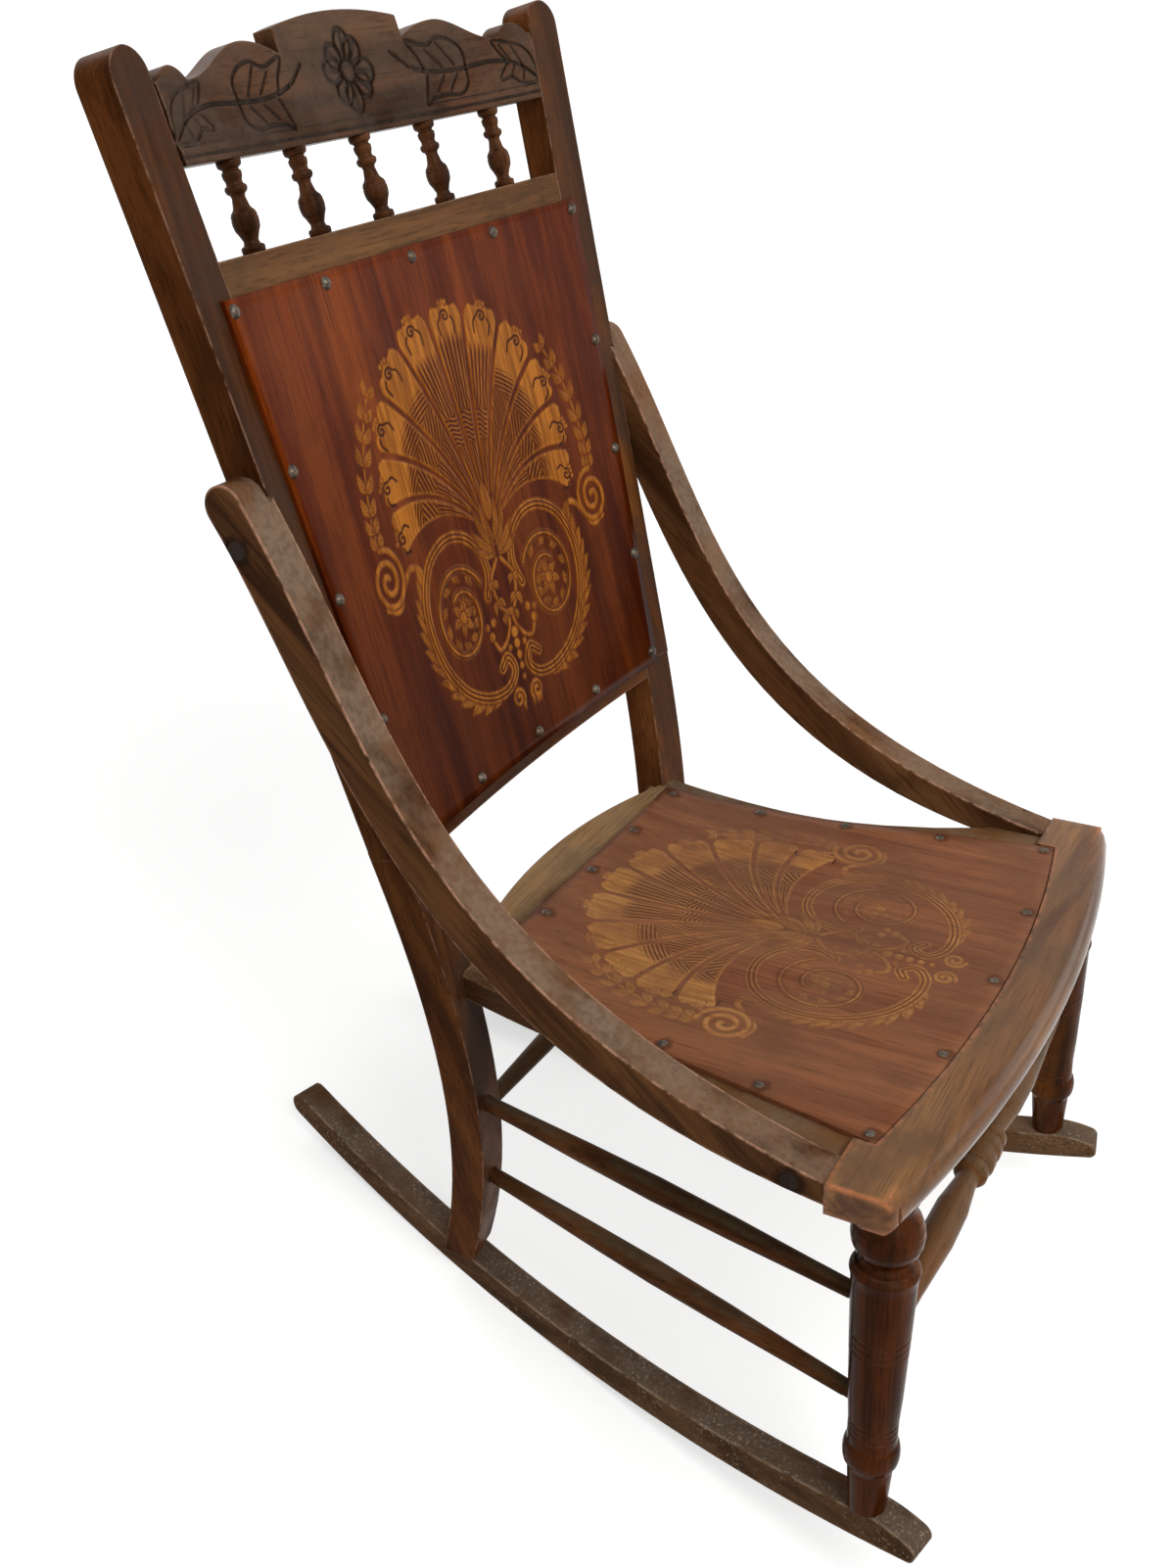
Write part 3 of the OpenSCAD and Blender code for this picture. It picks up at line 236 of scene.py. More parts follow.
def wood(name, axis, dark, mid, light, worn, edge_wear_and_highlight=0.5, grey=(0.1, 0.07, 0.05), dust=0.3,
         dust_from=0.35, dust_way=(0, -0.35, 0.94), gloss=0.38, coat=0.0, shine=0.03, figure=1.0,
         swirl=0.6, blotch=0.5, edge=0.0022, crevice_shade=0.7, grit=0.0, seed=0.0, press=None,
         stains=(), stain_reach=0.012, stain_depth=0.7):
    """Old varnished wood, with streaks, pores, blotches, rubbed edges that on some pieces also stand for a
    painted highlight, painted shade in crevices, dust and stains.
    """
    material = bpy.data.materials.new(name)
    material.use_nodes = True
    g = Graph(material.node_tree)
    where = g.node("ShaderNodeTexCoord").outputs["Object"]
    offset = (seed, seed * 0.7, -seed)
    shifted = g.node("ShaderNodeVectorMath", {0: where, 1: offset}, operation="ADD").outputs[0]
    long_grain = grain_vector(g, shifted, axis, 14.0)
    fine_grain = grain_vector(g, shifted, axis, 26.0)
    streak = g.noise(long_grain, 46.0 * figure, 5.0, 0.6, swirl)
    band = g.noise(long_grain, 15.0 * figure, 2.0, 0.5, swirl * 1.6)
    pore = g.noise(fine_grain, 620.0, 2.0, 0.6)
    cloud = g.noise(shifted, 17.0, 4.0, 0.6)
    speck = g.noise(shifted, 210.0, 2.0, 0.5)

    # streaks, lighter bands, dark pores and dark clouds
    colour = g.mix(g.ramp(streak, 0.34, 0.66), dark, mid)
    colour = g.mix(g.math("MULTIPLY", g.ramp(band, 0.46, 0.7), 0.75), colour, light)
    pore_dark = tuple(0.4 * c for c in dark)
    cloud_dark = tuple(0.8 * c for c in dark)
    colour = g.mix(g.math("MULTIPLY", g.ramp(pore, 0.5, 0.68), PORE_SHARE), colour, pore_dark)
    colour = g.mix(g.math("MULTIPLY", g.ramp(cloud, 0.5, 0.72), blotch), colour, cloud_dark)
    relief = None
    if press:
        colour, relief = press(g, colour, where)

    # dust, in patches, on faces that look along dust_way
    geometry = g.node("ShaderNodeNewGeometry")
    facing = g.ramp(g.dot(geometry.outputs["Normal"], tuple(unit(dust_way))), dust_from, dust_from + 0.4)
    patchy = g.math("MULTIPLY", g.ramp(cloud, 0.3, 0.62), g.ramp(speck, 0.3, 0.6, 0.65, 1.0))
    dusty = g.math("MULTIPLY", g.math("MULTIPLY", facing, patchy), dust)
    colour = g.mix(dusty, colour, grey)

    # rubbed edges, found where a rounded normal turns away from the face's own, and crevices, found by
    # ambient occlusion and darkened as painted shade
    rounded = g.node("ShaderNodeBevel", {"Radius": edge}, samples=6).outputs["Normal"]
    rubbed = g.ramp(g.dot(rounded, geometry.outputs["Normal"]), 0.995, 0.88)
    rubbed = g.math("MULTIPLY", rubbed, g.ramp(g.noise(shifted, 75.0, 4.0, 0.7), 0.36, 0.6))
    occlusion = g.node("ShaderNodeAmbientOcclusion", {"Distance": 0.011}, samples=6, only_local=True)
    shade = occlusion.outputs["AO"]
    unshaded = g.ramp(shade, 0.25, 0.85)
    rubbed = g.math("MULTIPLY", g.math("MULTIPLY", rubbed, g.ramp(shade, 0.7, 0.95)), edge_wear_and_highlight)
    # colour of the stains, and of the painted shade in crevices
    stain_and_shade_colour = tuple(0.25 * c for c in dark)
    if stains:
        away = stain_distance(g, where, stains)
        uneven = g.math("SUBTRACT", g.noise(shifted, 130.0, 3.0), 0.5)
        ragged = g.math("MULTIPLY", uneven, 0.9 * stain_reach)
        stain = g.ramp(g.math("ADD", away, ragged), stain_reach, 0.55 * stain_reach)
        rubbed = g.math("MULTIPLY", rubbed, g.math("SUBTRACT", 1.0, stain))
        colour = g.mix(g.math("MULTIPLY", stain, stain_depth), colour, stain_and_shade_colour)
    # rubbed edges take the rubbed colour; where it is bright, as on the front rail and the arms, it is
    # partly rubbed-through finish and partly a painted highlight
    colour = g.mix(rubbed, colour, worn)
    if grit:
        crumbs = g.ramp(g.noise(shifted, 420.0, 3.0, 0.7), 0.56, 0.66)
        crumbs = g.math("MULTIPLY", crumbs, g.ramp(cloud, 0.42, 0.6))
        colour = g.mix(g.math("MULTIPLY", crumbs, grit), colour, worn)
    # painted shade: darker where ambient occlusion finds other surfaces close by, in crevices and between
    # parts
    colour = g.mix(g.math("MULTIPLY", g.math("SUBTRACT", 1.0, unshaded), crevice_shade), colour, stain_and_shade_colour)

    # roughness grows with dust and wear, and the fine relief follows pores and waves
    rough = g.math("ADD", gloss, g.math("MULTIPLY", g.math("SUBTRACT", cloud, 0.5), 0.35))
    rough = g.math("ADD", rough, g.math("MULTIPLY", dusty, 0.3))
    rough = g.math("ADD", rough, g.math("MULTIPLY", rubbed, 0.15), clamp=True)
    waves = g.math("MULTIPLY", g.noise(shifted, 90.0, 3.0), 0.8)
    height = g.math("ADD", g.math("MULTIPLY", pore, -0.35), waves)
    height = g.math("ADD", height, g.math("MULTIPLY", speck, 0.15))
    if relief is not None:
        height = g.math("ADD", height, relief)
    bump = g.node("ShaderNodeBump", {
        "Height": height,
        "Normal": rounded,
        "Strength": 0.35,
        "Distance": 0.0006,
    })
    surface = g.node("ShaderNodeBsdfPrincipled", {
        "Base Color": colour,
        "Roughness": rough,
        "Normal": bump.outputs[0],
        "Specular IOR Level": shine,
        "Specular Tint": (1.0, 0.62, 0.38),
        "Coat Weight": coat,
        "Coat Roughness": 0.16,
    })
    g.node("ShaderNodeOutputMaterial", {"Surface": surface.outputs[0]})
    return material


def metal(name, dark, mid, bright, rust, gloss=0.42):
    """Old iron with a brown patina, bright where it has been rubbed."""
    material = bpy.data.materials.new(name)
    material.use_nodes = True
    g = Graph(material.node_tree)
    where = g.node("ShaderNodeTexCoord").outputs["Object"]
    blot = g.noise(where, 240.0, 4.0, 0.65)
    grit = g.noise(where, 900.0, 2.0, 0.6)
    patch = g.noise(where, 60.0, 3.0, 0.6)
    colour = g.mix(g.ramp(blot, 0.35, 0.65), dark, mid)
    colour = g.mix(g.math("MULTIPLY", g.ramp(grit, 0.52, 0.66), 0.6), colour, bright)
    colour = g.mix(g.math("MULTIPLY", g.ramp(patch, 0.45, 0.6), 0.6), colour, rust)
    rough = g.math("ADD", gloss, g.math("MULTIPLY", g.math("SUBTRACT", blot, 0.5), 0.5), clamp=True)
    bump = g.node("ShaderNodeBump", {
        "Height": g.math("ADD", blot, g.math("MULTIPLY", grit, 0.4)),
        "Strength": 0.5,
        "Distance": 0.0004,
    })
    surface = g.node("ShaderNodeBsdfPrincipled", {
        "Base Color": colour,
        "Roughness": rough,
        "Metallic": 0.75,
        "Normal": bump.outputs[0],
    })
    g.node("ShaderNodeOutputMaterial", {"Surface": surface.outputs[0]})
    return material


# drawing of relief on a raster in millimetres

class Canvas:
    """Height, gold and line fields over a rectangle, drawn by strokes and shapes."""

    def __init__(self, low, high, step=0.5):
        self.low = np.array(low, float)
        self.step = step
        self.shape = tuple(int(round((h - l) / step)) + 1 for l, h in zip(low, high))
        xs = low[0] + step * np.arange(self.shape[0])
        ys = low[1] + step * np.arange(self.shape[1])
        self.x, self.y = np.meshgrid(xs, ys, indexing="ij")
        self.height = np.zeros(self.shape)
        self.gold = np.zeros(self.shape)
        self.line = np.zeros(self.shape)
        self.line_share = np.zeros(self.shape)
        self.dark = np.zeros(self.shape)

    def distance(self, points, reach):
        """Distance to a polyline, up to reach."""
        found = np.full(self.shape, reach, float)
        points = np.asarray(points, float)
        for a, b in zip(points[:-1], points[1:]):
            lo = (np.minimum(a, b) - reach - self.low) / self.step
            hi = (np.maximum(a, b) + reach - self.low) / self.step
            i0, j0 = np.maximum(np.floor(lo).astype(int), 0)
            i1, j1 = np.minimum(np.ceil(hi).astype(int) + 1, self.shape)
            if i0 >= i1 or j0 >= j1:
                continue
            px, py = self.x[i0:i1, j0:j1] - a[0], self.y[i0:i1, j0:j1] - a[1]
            d = b - a
            t = np.clip((px * d[0] + py * d[1]) / max(d @ d, 1e-9), 0, 1)
            near = np.hypot(px - t * d[0], py - t * d[1])
            found[i0:i1, j0:j1] = np.minimum(found[i0:i1, j0:j1], near)
        return found

    def lay(self, inner, height, gold, line=0.0, share=0.0):
        """Puts a shape on top of the rest; inner is the distance inside its edge."""
        on = np.clip(inner / 0.8 + 0.5, 0, 1)
        clear = np.clip((inner + 1.5) / 0.7, 0, 1)
        self.height = self.height * (1 - clear) + on * height - 0.3 * (clear - on)
        self.dark = self.dark * (1 - clear)
        self.gold = self.gold * (1 - clear) + on * gold
        self.line = np.where(on > 0.3, line, self.line)
        self.line_share = self.line_share * (1 - clear) + on * share

    def band(self, points, half, height, gold, ribs=2):
        """A raised band with ribs along it."""
        d = self.distance(points, half + 4.0)
        dome = 0.65 + 0.35 * np.cos(math.pi * np.clip(d / half, 0, 1))
        self.lay(half - d, height * dome, gold, (d / half) * (ribs - 0.5) * 0.5 + 0.25, 0.8)

    def leaf(self, root, tip, half, height, gold, bow=0.0):
        """A pointed leaf from root to tip with a groove down its middle and slanting veins."""
        root, tip = np.array(root, float), np.array(tip, float)
        d = tip - root
        length = np.hypot(*d)
        e = d / length
        u = ((self.x - root[0]) * e[0] + (self.y - root[1]) * e[1]) / length
        along = np.clip(u, 0, 1)
        s = -(self.x - root[0]) * e[1] + (self.y - root[1]) * e[0] - bow * np.sin(math.pi * along)
        wide = half * np.clip(np.sin(math.pi * along ** 0.75), 0, 1)
        beyond = -np.hypot(s, (np.abs(u - 0.5) - 0.5) * length)
        inner = np.where((u > 0) & (u < 1), wide - np.abs(s), beyond)
        dome = np.clip(1 - (s / (half + 1e-9)) ** 2, 0, 1)
        vein = np.exp(-(s / 0.7) ** 2)
        slant = (u * length - 1.6 * np.abs(s)) / 3.4
        self.lay(inner, height * dome - 0.4 * vein, gold * (1 - 0.45 * vein), slant, 0.35)

    def bead(self, at, radius, height, gold):
        """A round bead."""
        d = np.hypot(self.x - at[0], self.y - at[1])
        dome = np.sqrt(np.clip(1 - (d / (radius + 0.5)) ** 2, 0, 1))
        self.lay(radius - d, height * dome, gold)

    def ink(self, points, width, depth):
        """A fine dark groove."""
        bell = np.exp(-(self.distance(points, width * 3) / width) ** 2)
        self.height -= depth * bell
        self.dark = np.maximum(self.dark, bell)

    def sample(self, field, x, y):
        """Value of a field at points, nought outside."""
        u = (x - self.low[0]) / self.step
        v = (y - self.low[1]) / self.step
        inside = (u >= 0) & (v >= 0) & (u <= self.shape[0] - 1) & (v <= self.shape[1] - 1)
        u = np.clip(u, 0, self.shape[0] - 1.001)
        v = np.clip(v, 0, self.shape[1] - 1.001)
        i, j = u.astype(int), v.astype(int)
        a, b = u - i, v - j
        got = (field[i, j] * (1 - a) * (1 - b) + field[i + 1, j] * a * (1 - b)
               + field[i, j + 1] * (1 - a) * b + field[i + 1, j + 1] * a * b)
        return np.where(inside, got, 0.0)


def fields_of(canvas, x, y):
    """What the materials read of a canvas, at points."""
    return {
        "gold": canvas.sample(canvas.gold, x, y),
        "line": canvas.sample(canvas.line, x, y),
        "line_share": canvas.sample(canvas.line_share, x, y),
        "low": -np.minimum(canvas.sample(canvas.height, x, y), 0) + canvas.sample(canvas.dark, x, y),
    }


def smooth_line(points, per=10):
    """A Catmull-Rom curve through points."""
    p = np.asarray(points, float)
    p = np.vstack([2 * p[0] - p[1], p, 2 * p[-1] - p[-2]])
    out = []
    for k in range(1, len(p) - 2):
        for t in np.arange(per) / per:
            a, b, c, d = p[k - 1:k + 3]
            out.append(0.5 * (2 * b + (c - a) * t + (2 * a - 5 * b + 4 * c - d) * t * t
                              + (3 * b - a - 3 * c + d) * t ** 3))
    out.append(p[-2])
    return np.array(out)


def spiral(centre, start_r, end_r, start_deg, turns, squash=1.0, steps=90):
    """A spiral from its eye outward."""
    t = np.linspace(0, 1, steps)
    r = start_r + (end_r - start_r) * t ** 0.9
    a = math.radians(start_deg) + 2 * math.pi * turns * t
    return np.stack([centre[0] + r * np.cos(a), centre[1] + squash * r * np.sin(a)], -1)


def shell_panel(canvas, root, radius, side_radius, tilt_deg):
    """A scallop shell over a pair of leafy C-scrolls, a common ornament of pressed seats."""
    tilt = math.radians(tilt_deg)
    c, s = math.cos(tilt), math.sin(tilt)

    def place(points):
        """Turns and moves the ornament's own places onto the canvas."""
        p = np.asarray(points, float)
        x = root[0] + p[..., 0] * c + p[..., 1] * s
        y = root[1] + p[..., 1] * c - p[..., 0] * s
        return np.stack([x, y], -1)

    def rim_at(degrees):
        """Reach of the shell in a direction, off its middle line; the sides are drawn in."""
        return radius - (radius - side_radius) * np.clip((np.abs(degrees) - 18) / 64, 0, 1) ** 1.25

    dx, dy = canvas.x - root[0], canvas.y - root[1]
    px, py = dx * c - dy * s, dx * s + dy * c
    r = np.hypot(px, py) + 1e-6
    theta = np.degrees(np.arctan2(px, py))
    lobes, pitch = 11, 15.4
    rim = rim_at(theta)
    share = r / rim
    spread = 0.5 + 0.5 * np.clip(share, 0, 1.2) ** 0.9
    q = theta / spread
    number = np.round(q / pitch)
    t = q / pitch - number
    wide = np.radians(pitch) * r * spread
    off = (0.5 - np.abs(t)) * wide
    gap = 0.9 + 1.5 * np.clip(share, 0, 1)
    scallop = 1.0 - 0.3 * np.abs(t) ** 2.2 + 0.012 * np.cos(t * 6 * math.pi)
    to_rim = (scallop - share) * rim
    inner = np.minimum(np.minimum(off - gap, to_rim), (share - 0.13) * rim)
    inner = np.where(np.abs(number) <= (lobes - 1) // 2, inner, -3.0)
    aside = np.clip((np.abs(number) - 1.4) / 0.8, 0, 1)
    tip = np.clip((share - 0.8 + 0.08 * aside - 0.03 * np.cos(number * 2.1)) / 0.05, 0, 1)
    # radial lines and scales in the middle lobes, cross lines and woven blocks in the side ones
    radial = t * np.where(share > 0.6, 7.0, np.where(share > 0.36, 5.0, 3.0))
    cross = share * rim / 3.2
    woven = (t * wide * 0.8 * np.sign(number) + share * rim * 0.6) / 3.0
    scales = share * rim / 3.6 + 0.5 * np.sin(t * 2 * math.pi)
    middle = np.where((share > 0.42) & (share < 0.56), scales, radial)
    outside = np.where(share > 0.66, cross, np.where(share > 0.5, woven, radial))
    line = np.where(aside < 0.5, middle, outside)
    outline = np.clip((2.2 - inner) / 0.8, 0, 1)
    shine = 0.34 + 0.3 * np.clip((share - 0.3) / 0.5, 0, 1) + 0.25 * outline + 0.3 * tip
    swell = 0.6 + 0.2 * np.cos(2 * math.pi * t) + 0.4 * np.exp(-((inner - 0.9) / 0.9) ** 2)
    canvas.lay(inner, swell, shine, line, (1 - tip) * np.clip((inner - 0.9) / 0.9, 0, 1))

    for k in range(-(lobes // 2), lobes // 2 + 1):
        # a small curl and two commas cut into the tip of each lobe
        angle = math.radians(k * pitch)
        reach = rim_at(k * pitch)
        way = np.array([math.sin(angle), math.cos(angle)])
        aside_way = np.array([way[1], -way[0]])
        turn = 1 if k >= 0 else -1
        curl = spiral(way * reach * 0.945, 0.8, 5.2, 90 - k * pitch, 1.25 * turn, 0.9, 40)
        canvas.ink(place(curl), 0.95, 0.9)
        for m in (-1, 1):
            steps = ((0.94, 6.5), (0.915, 9.5), (0.87, 8.5))
            comma = [way * reach * out + aside_way * m * over for out, over in steps]
            canvas.ink(place(smooth_line(comma, 6)), 0.9, 0.8)
            canvas.bead(place(way * reach * 1.0 + aside_way * m * 3.6), 1.7, 0.6, 0.95)

    u = radius / 176.0
    for m in (-1, 1):
        def at(points):
            p = np.asarray(points, float) * u
            p[..., 0] *= m
            return place(p)

        def leaves(points, count, length, half, degrees, both_ways=True, gold=0.9):
            """Leaves in pairs or on one side along a line, pointing back along it."""
            line_at = smooth_line(points, 12)
            picks = np.linspace(2, len(line_at) - 3, count).astype(int)
            for n, j in enumerate(picks):
                d = unit(line_at[j + 2] - line_at[j - 2])
                for way in ((-1, 1) if both_ways else (1,)):
                    a = math.radians(degrees * way)
                    ca, sa = math.cos(a), math.sin(a)
                    out = np.array([d[0] * ca - d[1] * sa, d[0] * sa + d[1] * ca])
                    grown = length * (1 - 0.25 * abs(2 * n / max(count - 1, 1) - 1))
                    tip_at = at(line_at[j] + out * grown)
                    canvas.leaf(at(line_at[j]), tip_at, half * u, 0.75, gold, bow=1.3 * way * m)

        # outer spray of leaves
        spray = [(141, 22), (142, 44), (137, 74), (126, 104), (110, 130)]
        canvas.band(at(smooth_line(spray)), 0.9, 0.5, 0.8, ribs=1)
        leaves(spray, 8, 17, 3.6, 32)
        # side volute and the curve that ties it to the big scroll
        tie = [(96, -2), (110, 4), (124, -8), (134, -20), (148, -16)]
        canvas.band(at(smooth_line(tie)), 2.2, 0.75, 0.85, ribs=1)
        canvas.band(at(spiral((139, 2), 2.2, 20, 120, -2.1, 1.12)), 1.9, 0.75, 0.85, ribs=1)
        # acanthus leaves outside the big scroll
        outer = [(26, -113), (58, -111), (82, -94), (99, -66), (104, -38), (98, -8)]
        leaves(outer, 13, 27, 5.0, -27, False, 0.92)
        # inner volute with its leaves and bead
        coil = spiral((60, -46), 15, 35, 60, 1.25, 1.1)
        for j in range(6, len(coil) - 6, 7):
            d = unit(coil[j + 2] - coil[j - 2])
            inward = unit(np.array([60, -46]) - coil[j])
            tip_at = at(coil[j] + d * 8 + inward * 11)
            canvas.leaf(at(coil[j]), tip_at, 3.4 * u, 0.65, 0.75, bow=1.2 * m)
        canvas.band(at(coil), 2.8, 0.8, 0.82, ribs=2)
        for turn in range(0, 360, 60):
            a = math.radians(turn + 12)
            foot = np.array([60 + 3 * math.cos(a), -46 + 3 * math.sin(a)])
            out = np.array([math.cos(a + 0.6), math.sin(a + 0.6)])
            canvas.leaf(at(foot), at(foot + out * 13), 3.2 * u, 0.8, 0.85, bow=1.6 * m)
        canvas.bead(at((60, -46)), 4.2 * u, 0.9, 0.9)
        # big scroll
        scroll = [(24, -40), (17, -22), (24, -2), (42, 11), (66, 12), (90, -2), (103, -32), (98, -68),
                  (78, -97), (50, -112), (24, -113), (10, -102), (16, -90), (26, -96)]
        canvas.band(at(smooth_line(scroll)), 4.4, 0.85, 0.86, ribs=3)
        # hanging sprig between the scrolls
        sprig = [(3, -16), (15, -30), (12, -48), (3, -62), (10, -76), (22, -82), (30, -72)]
        canvas.band(at(smooth_line(sprig)), 1.5, 0.65, 0.8, ribs=1)
        leaves([(14, -28), (13, -46), (5, -60)], 3, 12, 2.8, 40)
        for n, p in enumerate([(30, -70), (24, -60), (33, -62), (10, -84)]):
            canvas.bead(at(p), (3.6 - 0.4 * n) * u, 0.85, 0.88)
        canvas.band(at(spiral((13, -124), 1.6, 9, 60, 1.6, 1.0, 50)), 1.3, 0.6, 0.8, ribs=1)
        # plume at the shell's root
        for a, b, h in [((2, -12), (30, -2), 3.2), ((2, -10), (28, 12), 3.6), ((1, -6), (20, 25), 3.6),
                        ((1, -2), (10, 32), 3.2)]:
            canvas.leaf(at(a), at(b), h * u, 0.85, 0.8, bow=-2.0 * m)
    # leaf over the root and beads below it, on the middle line
    middle_root, middle_tip = np.array([0.0, 14.0]) * u, np.array([0.0, 46.0]) * u
    canvas.leaf(place(middle_root), place(middle_tip), 6.4 * u, 0.9, 0.95)
    for k in range(5):
        canvas.bead(place(np.array([0.0, -74.0 - 9 * k]) * u), (4.2 - 0.5 * k) * u, 0.85, 0.9)


# closed sheets with a fine front

def sheet(name, front, rear, coarse_rows, coarse_columns, fields=None):
    """A closed mesh: fine grid in front, walls around, and a coarse grid behind."""
    rows, cols = front.shape[:2]
    vertices = [tuple(p) for p in front.reshape(-1, 3)]
    behind = {}

    def rear_vertex(j, i):
        if (j, i) not in behind:
            behind[(j, i)] = len(vertices)
            vertices.append(tuple(rear[j, i]))
        return behind[(j, i)]

    faces, smooth = [], []
    for j in range(rows - 1):
        for i in range(cols - 1):
            a = j * cols + i
            faces.append((a, a + 1, a + cols + 1, a + cols))
            smooth.append(True)
    loop = ([(0, i) for i in range(cols - 1)] + [(j, cols - 1) for j in range(rows - 1)]
            + [(rows - 1, i) for i in range(cols - 1, 0, -1)] + [(j, 0) for j in range(rows - 1, 0, -1)])
    for (j, i), (k, l) in zip(loop, loop[1:] + loop[:1]):
        faces.append((j * cols + i, rear_vertex(j, i), rear_vertex(k, l), k * cols + l))
        smooth.append(False)

    def run(j0, i0, j1, i1):
        """Back vertices from one corner up to the next, which is left out; on the rim, every one of them."""
        if j0 == j1:
            step = 1 if i1 > i0 else -1
            cells = [(j0, i) for i in range(i0, i1, step)] if j0 in (0, rows - 1) else [(j0, i0)]
        else:
            step = 1 if j1 > j0 else -1
            cells = [(j, i0) for j in range(j0, j1, step)] if i0 in (0, cols - 1) else [(j0, i0)]
        return [rear_vertex(*cell) for cell in cells]

    for j0, j1 in zip(coarse_rows[:-1], coarse_rows[1:]):
        for i0, i1 in zip(coarse_columns[:-1], coarse_columns[1:]):
            ring = run(j0, i0, j1, i0) + run(j1, i0, j1, i1) + run(j1, i1, j0, i1) + run(j0, i1, j0, i0)
            faces.append(tuple(ring))
            smooth.append(False)
    mesh = bpy.data.meshes.new(name)
    mesh.from_pydata(vertices, [], faces)
    mesh.polygons.foreach_set("use_smooth", smooth)
    for key, values in (fields or {}).items():
        attribute = mesh.attributes.new(key, "FLOAT", "POINT")
        full = np.zeros(len(vertices), np.float32)
        full[:rows * cols] = values.reshape(-1)
        attribute.data.foreach_set("value", full)
    mesh.validate()
    mesh.update()
    piece = bpy.data.objects.new(name, mesh)
    bpy.context.scene.collection.objects.link(piece)
    return piece


def spaced(low, high, fine_low, fine_high, fine, coarse):
    """Values from low to high, close together between fine_low and fine_high."""
    parts = [np.linspace(low, fine_low, max(int((fine_low - low) / coarse), 1) + 1)[:-1],
             np.linspace(fine_low, fine_high, int((fine_high - fine_low) / fine) + 1),
             np.linspace(fine_high, high, max(int((high - fine_high) / coarse), 1) + 1)[1:]]
    return np.concatenate(parts)


def every(count, parts):
    """Indices of a few rows or columns, the first and last among them."""
    return sorted(set(int(round(k)) for k in np.linspace(0, count - 1, parts + 1)))


def bend_w(radius, depth, lean_deg, v_from, x, v):
    """How far behind the posts' front plane a bent piece's front lies."""
    leaning = (v - v_from) * math.tan(math.radians(lean_deg))
    return depth + leaning - (radius - np.sqrt(radius ** 2 - x ** 2))


# half the clear width between the posts at the back's foot, and its growth with height
POST_HALF = 165.63
POST_SPLAY = 0.08719


def back_inner(v):
    """Half the clear width between the posts."""
    return POST_HALF + POST_SPLAY * v


# back panel

PANEL_LOW, PANEL_HIGH, PANEL_LAP, PANEL_T = -3.0, 374.6, 12.6, 3.6
# the sides stay this far inside the solid's, and the columns are laid out at this height
PANEL_INSET, PANEL_MIDDLE = 0.05, 190
# the plain ground lies this far under the solid's face, in millimetres
SINK = 0.25
# height of a relief of 1; the highest, 1.18, stands 0.28 mm over the face in the back and 0.13 in the seat
BACK_RELIEF, SEAT_RELIEF = 0.45, 0.32
# spacing of the panels' grids where the pattern lies and outside it
FINE, COARSE = 1.15, 7
# radius, depth, lean in degrees and starting height of each bend, for bend_w
RAIL_BEND = (1600.0, 8.57, 0.585, 0.0)
CREST_LOW = 451.4
CREST_BEND = (1050.0, 17.8, 3.2, CREST_LOW)

back_canvas = Canvas((-165, 28), (180, 350))
shell_panel(back_canvas, (8, 160), 172, 112, 4)
v_rows = spaced(PANEL_LOW, PANEL_HIGH, 34, 344, FINE, COARSE)
half_mid = back_inner(PANEL_MIDDLE) + PANEL_LAP
s_cols = spaced(-half_mid, half_mid, -158, 172, FINE, COARSE) / half_mid
vv, ss = np.meshgrid(v_rows, s_cols, indexing="ij")
xx = ss * (back_inner(vv) + PANEL_LAP - PANEL_INSET)
raise_by = back_canvas.sample(back_canvas.height, xx, vv)
w_rear = bend_w(*RAIL_BEND, xx, vv)
w_front = w_rear - PANEL_T + SINK - BACK_RELIEF * raise_by
back_panel = sheet(
    "back_panel_pressed",
    back_point(xx, w_front, vv),
    back_point(xx, w_rear, vv),
    every(len(v_rows), 6),
    every(len(s_cols), 14),
    fields_of(back_canvas, xx, vv),
)
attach(back_panel, "root")
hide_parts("back_panel")

# seat panel

SEAT_Z, SEAT_T = 360.0, 4.2
DISH_Y, DISH_R = -150.0, 865.0
BOW_CENTRE, BOW_IN = 687.0, 1033.0
PANEL_FRONT_HALF, PANEL_BACK_HALF, PANEL_BACK_Y = 204.0, 150.0, -5.0


def seat_z(y):
    """Height of the seat's top over the level chair's floor."""
    over = np.maximum(y - DISH_Y, 0)
    return SEAT_Z + DISH_R - np.sqrt(DISH_R ** 2 - over ** 2)


seat_canvas = Canvas((-165, -318), (165, -8))
shell_panel(seat_canvas, (0, -190), 164, 118, 0)
# the fine dark lines of the seat's pattern are drawn at three tenths of their strength
seat_canvas.dark *= 0.3
corner_y = BOW_CENTRE - math.sqrt(BOW_IN ** 2 - PANEL_FRONT_HALF ** 2)
# clearance to the rails, and the half width at which the columns are laid out
SEAT_GAP, SEAT_HALF = 0.9, 177.0
t_rows = spaced(0, 1, 0.045, 0.975, 0.0036, 0.02)
s_seat = spaced(-SEAT_HALF, SEAT_HALF, -150, 150, FINE, COARSE) / SEAT_HALF
tt, st = np.meshgrid(t_rows, s_seat, indexing="ij")
widening = PANEL_FRONT_HALF - PANEL_BACK_HALF
x_seat = st * (PANEL_BACK_HALF + widening * tt)
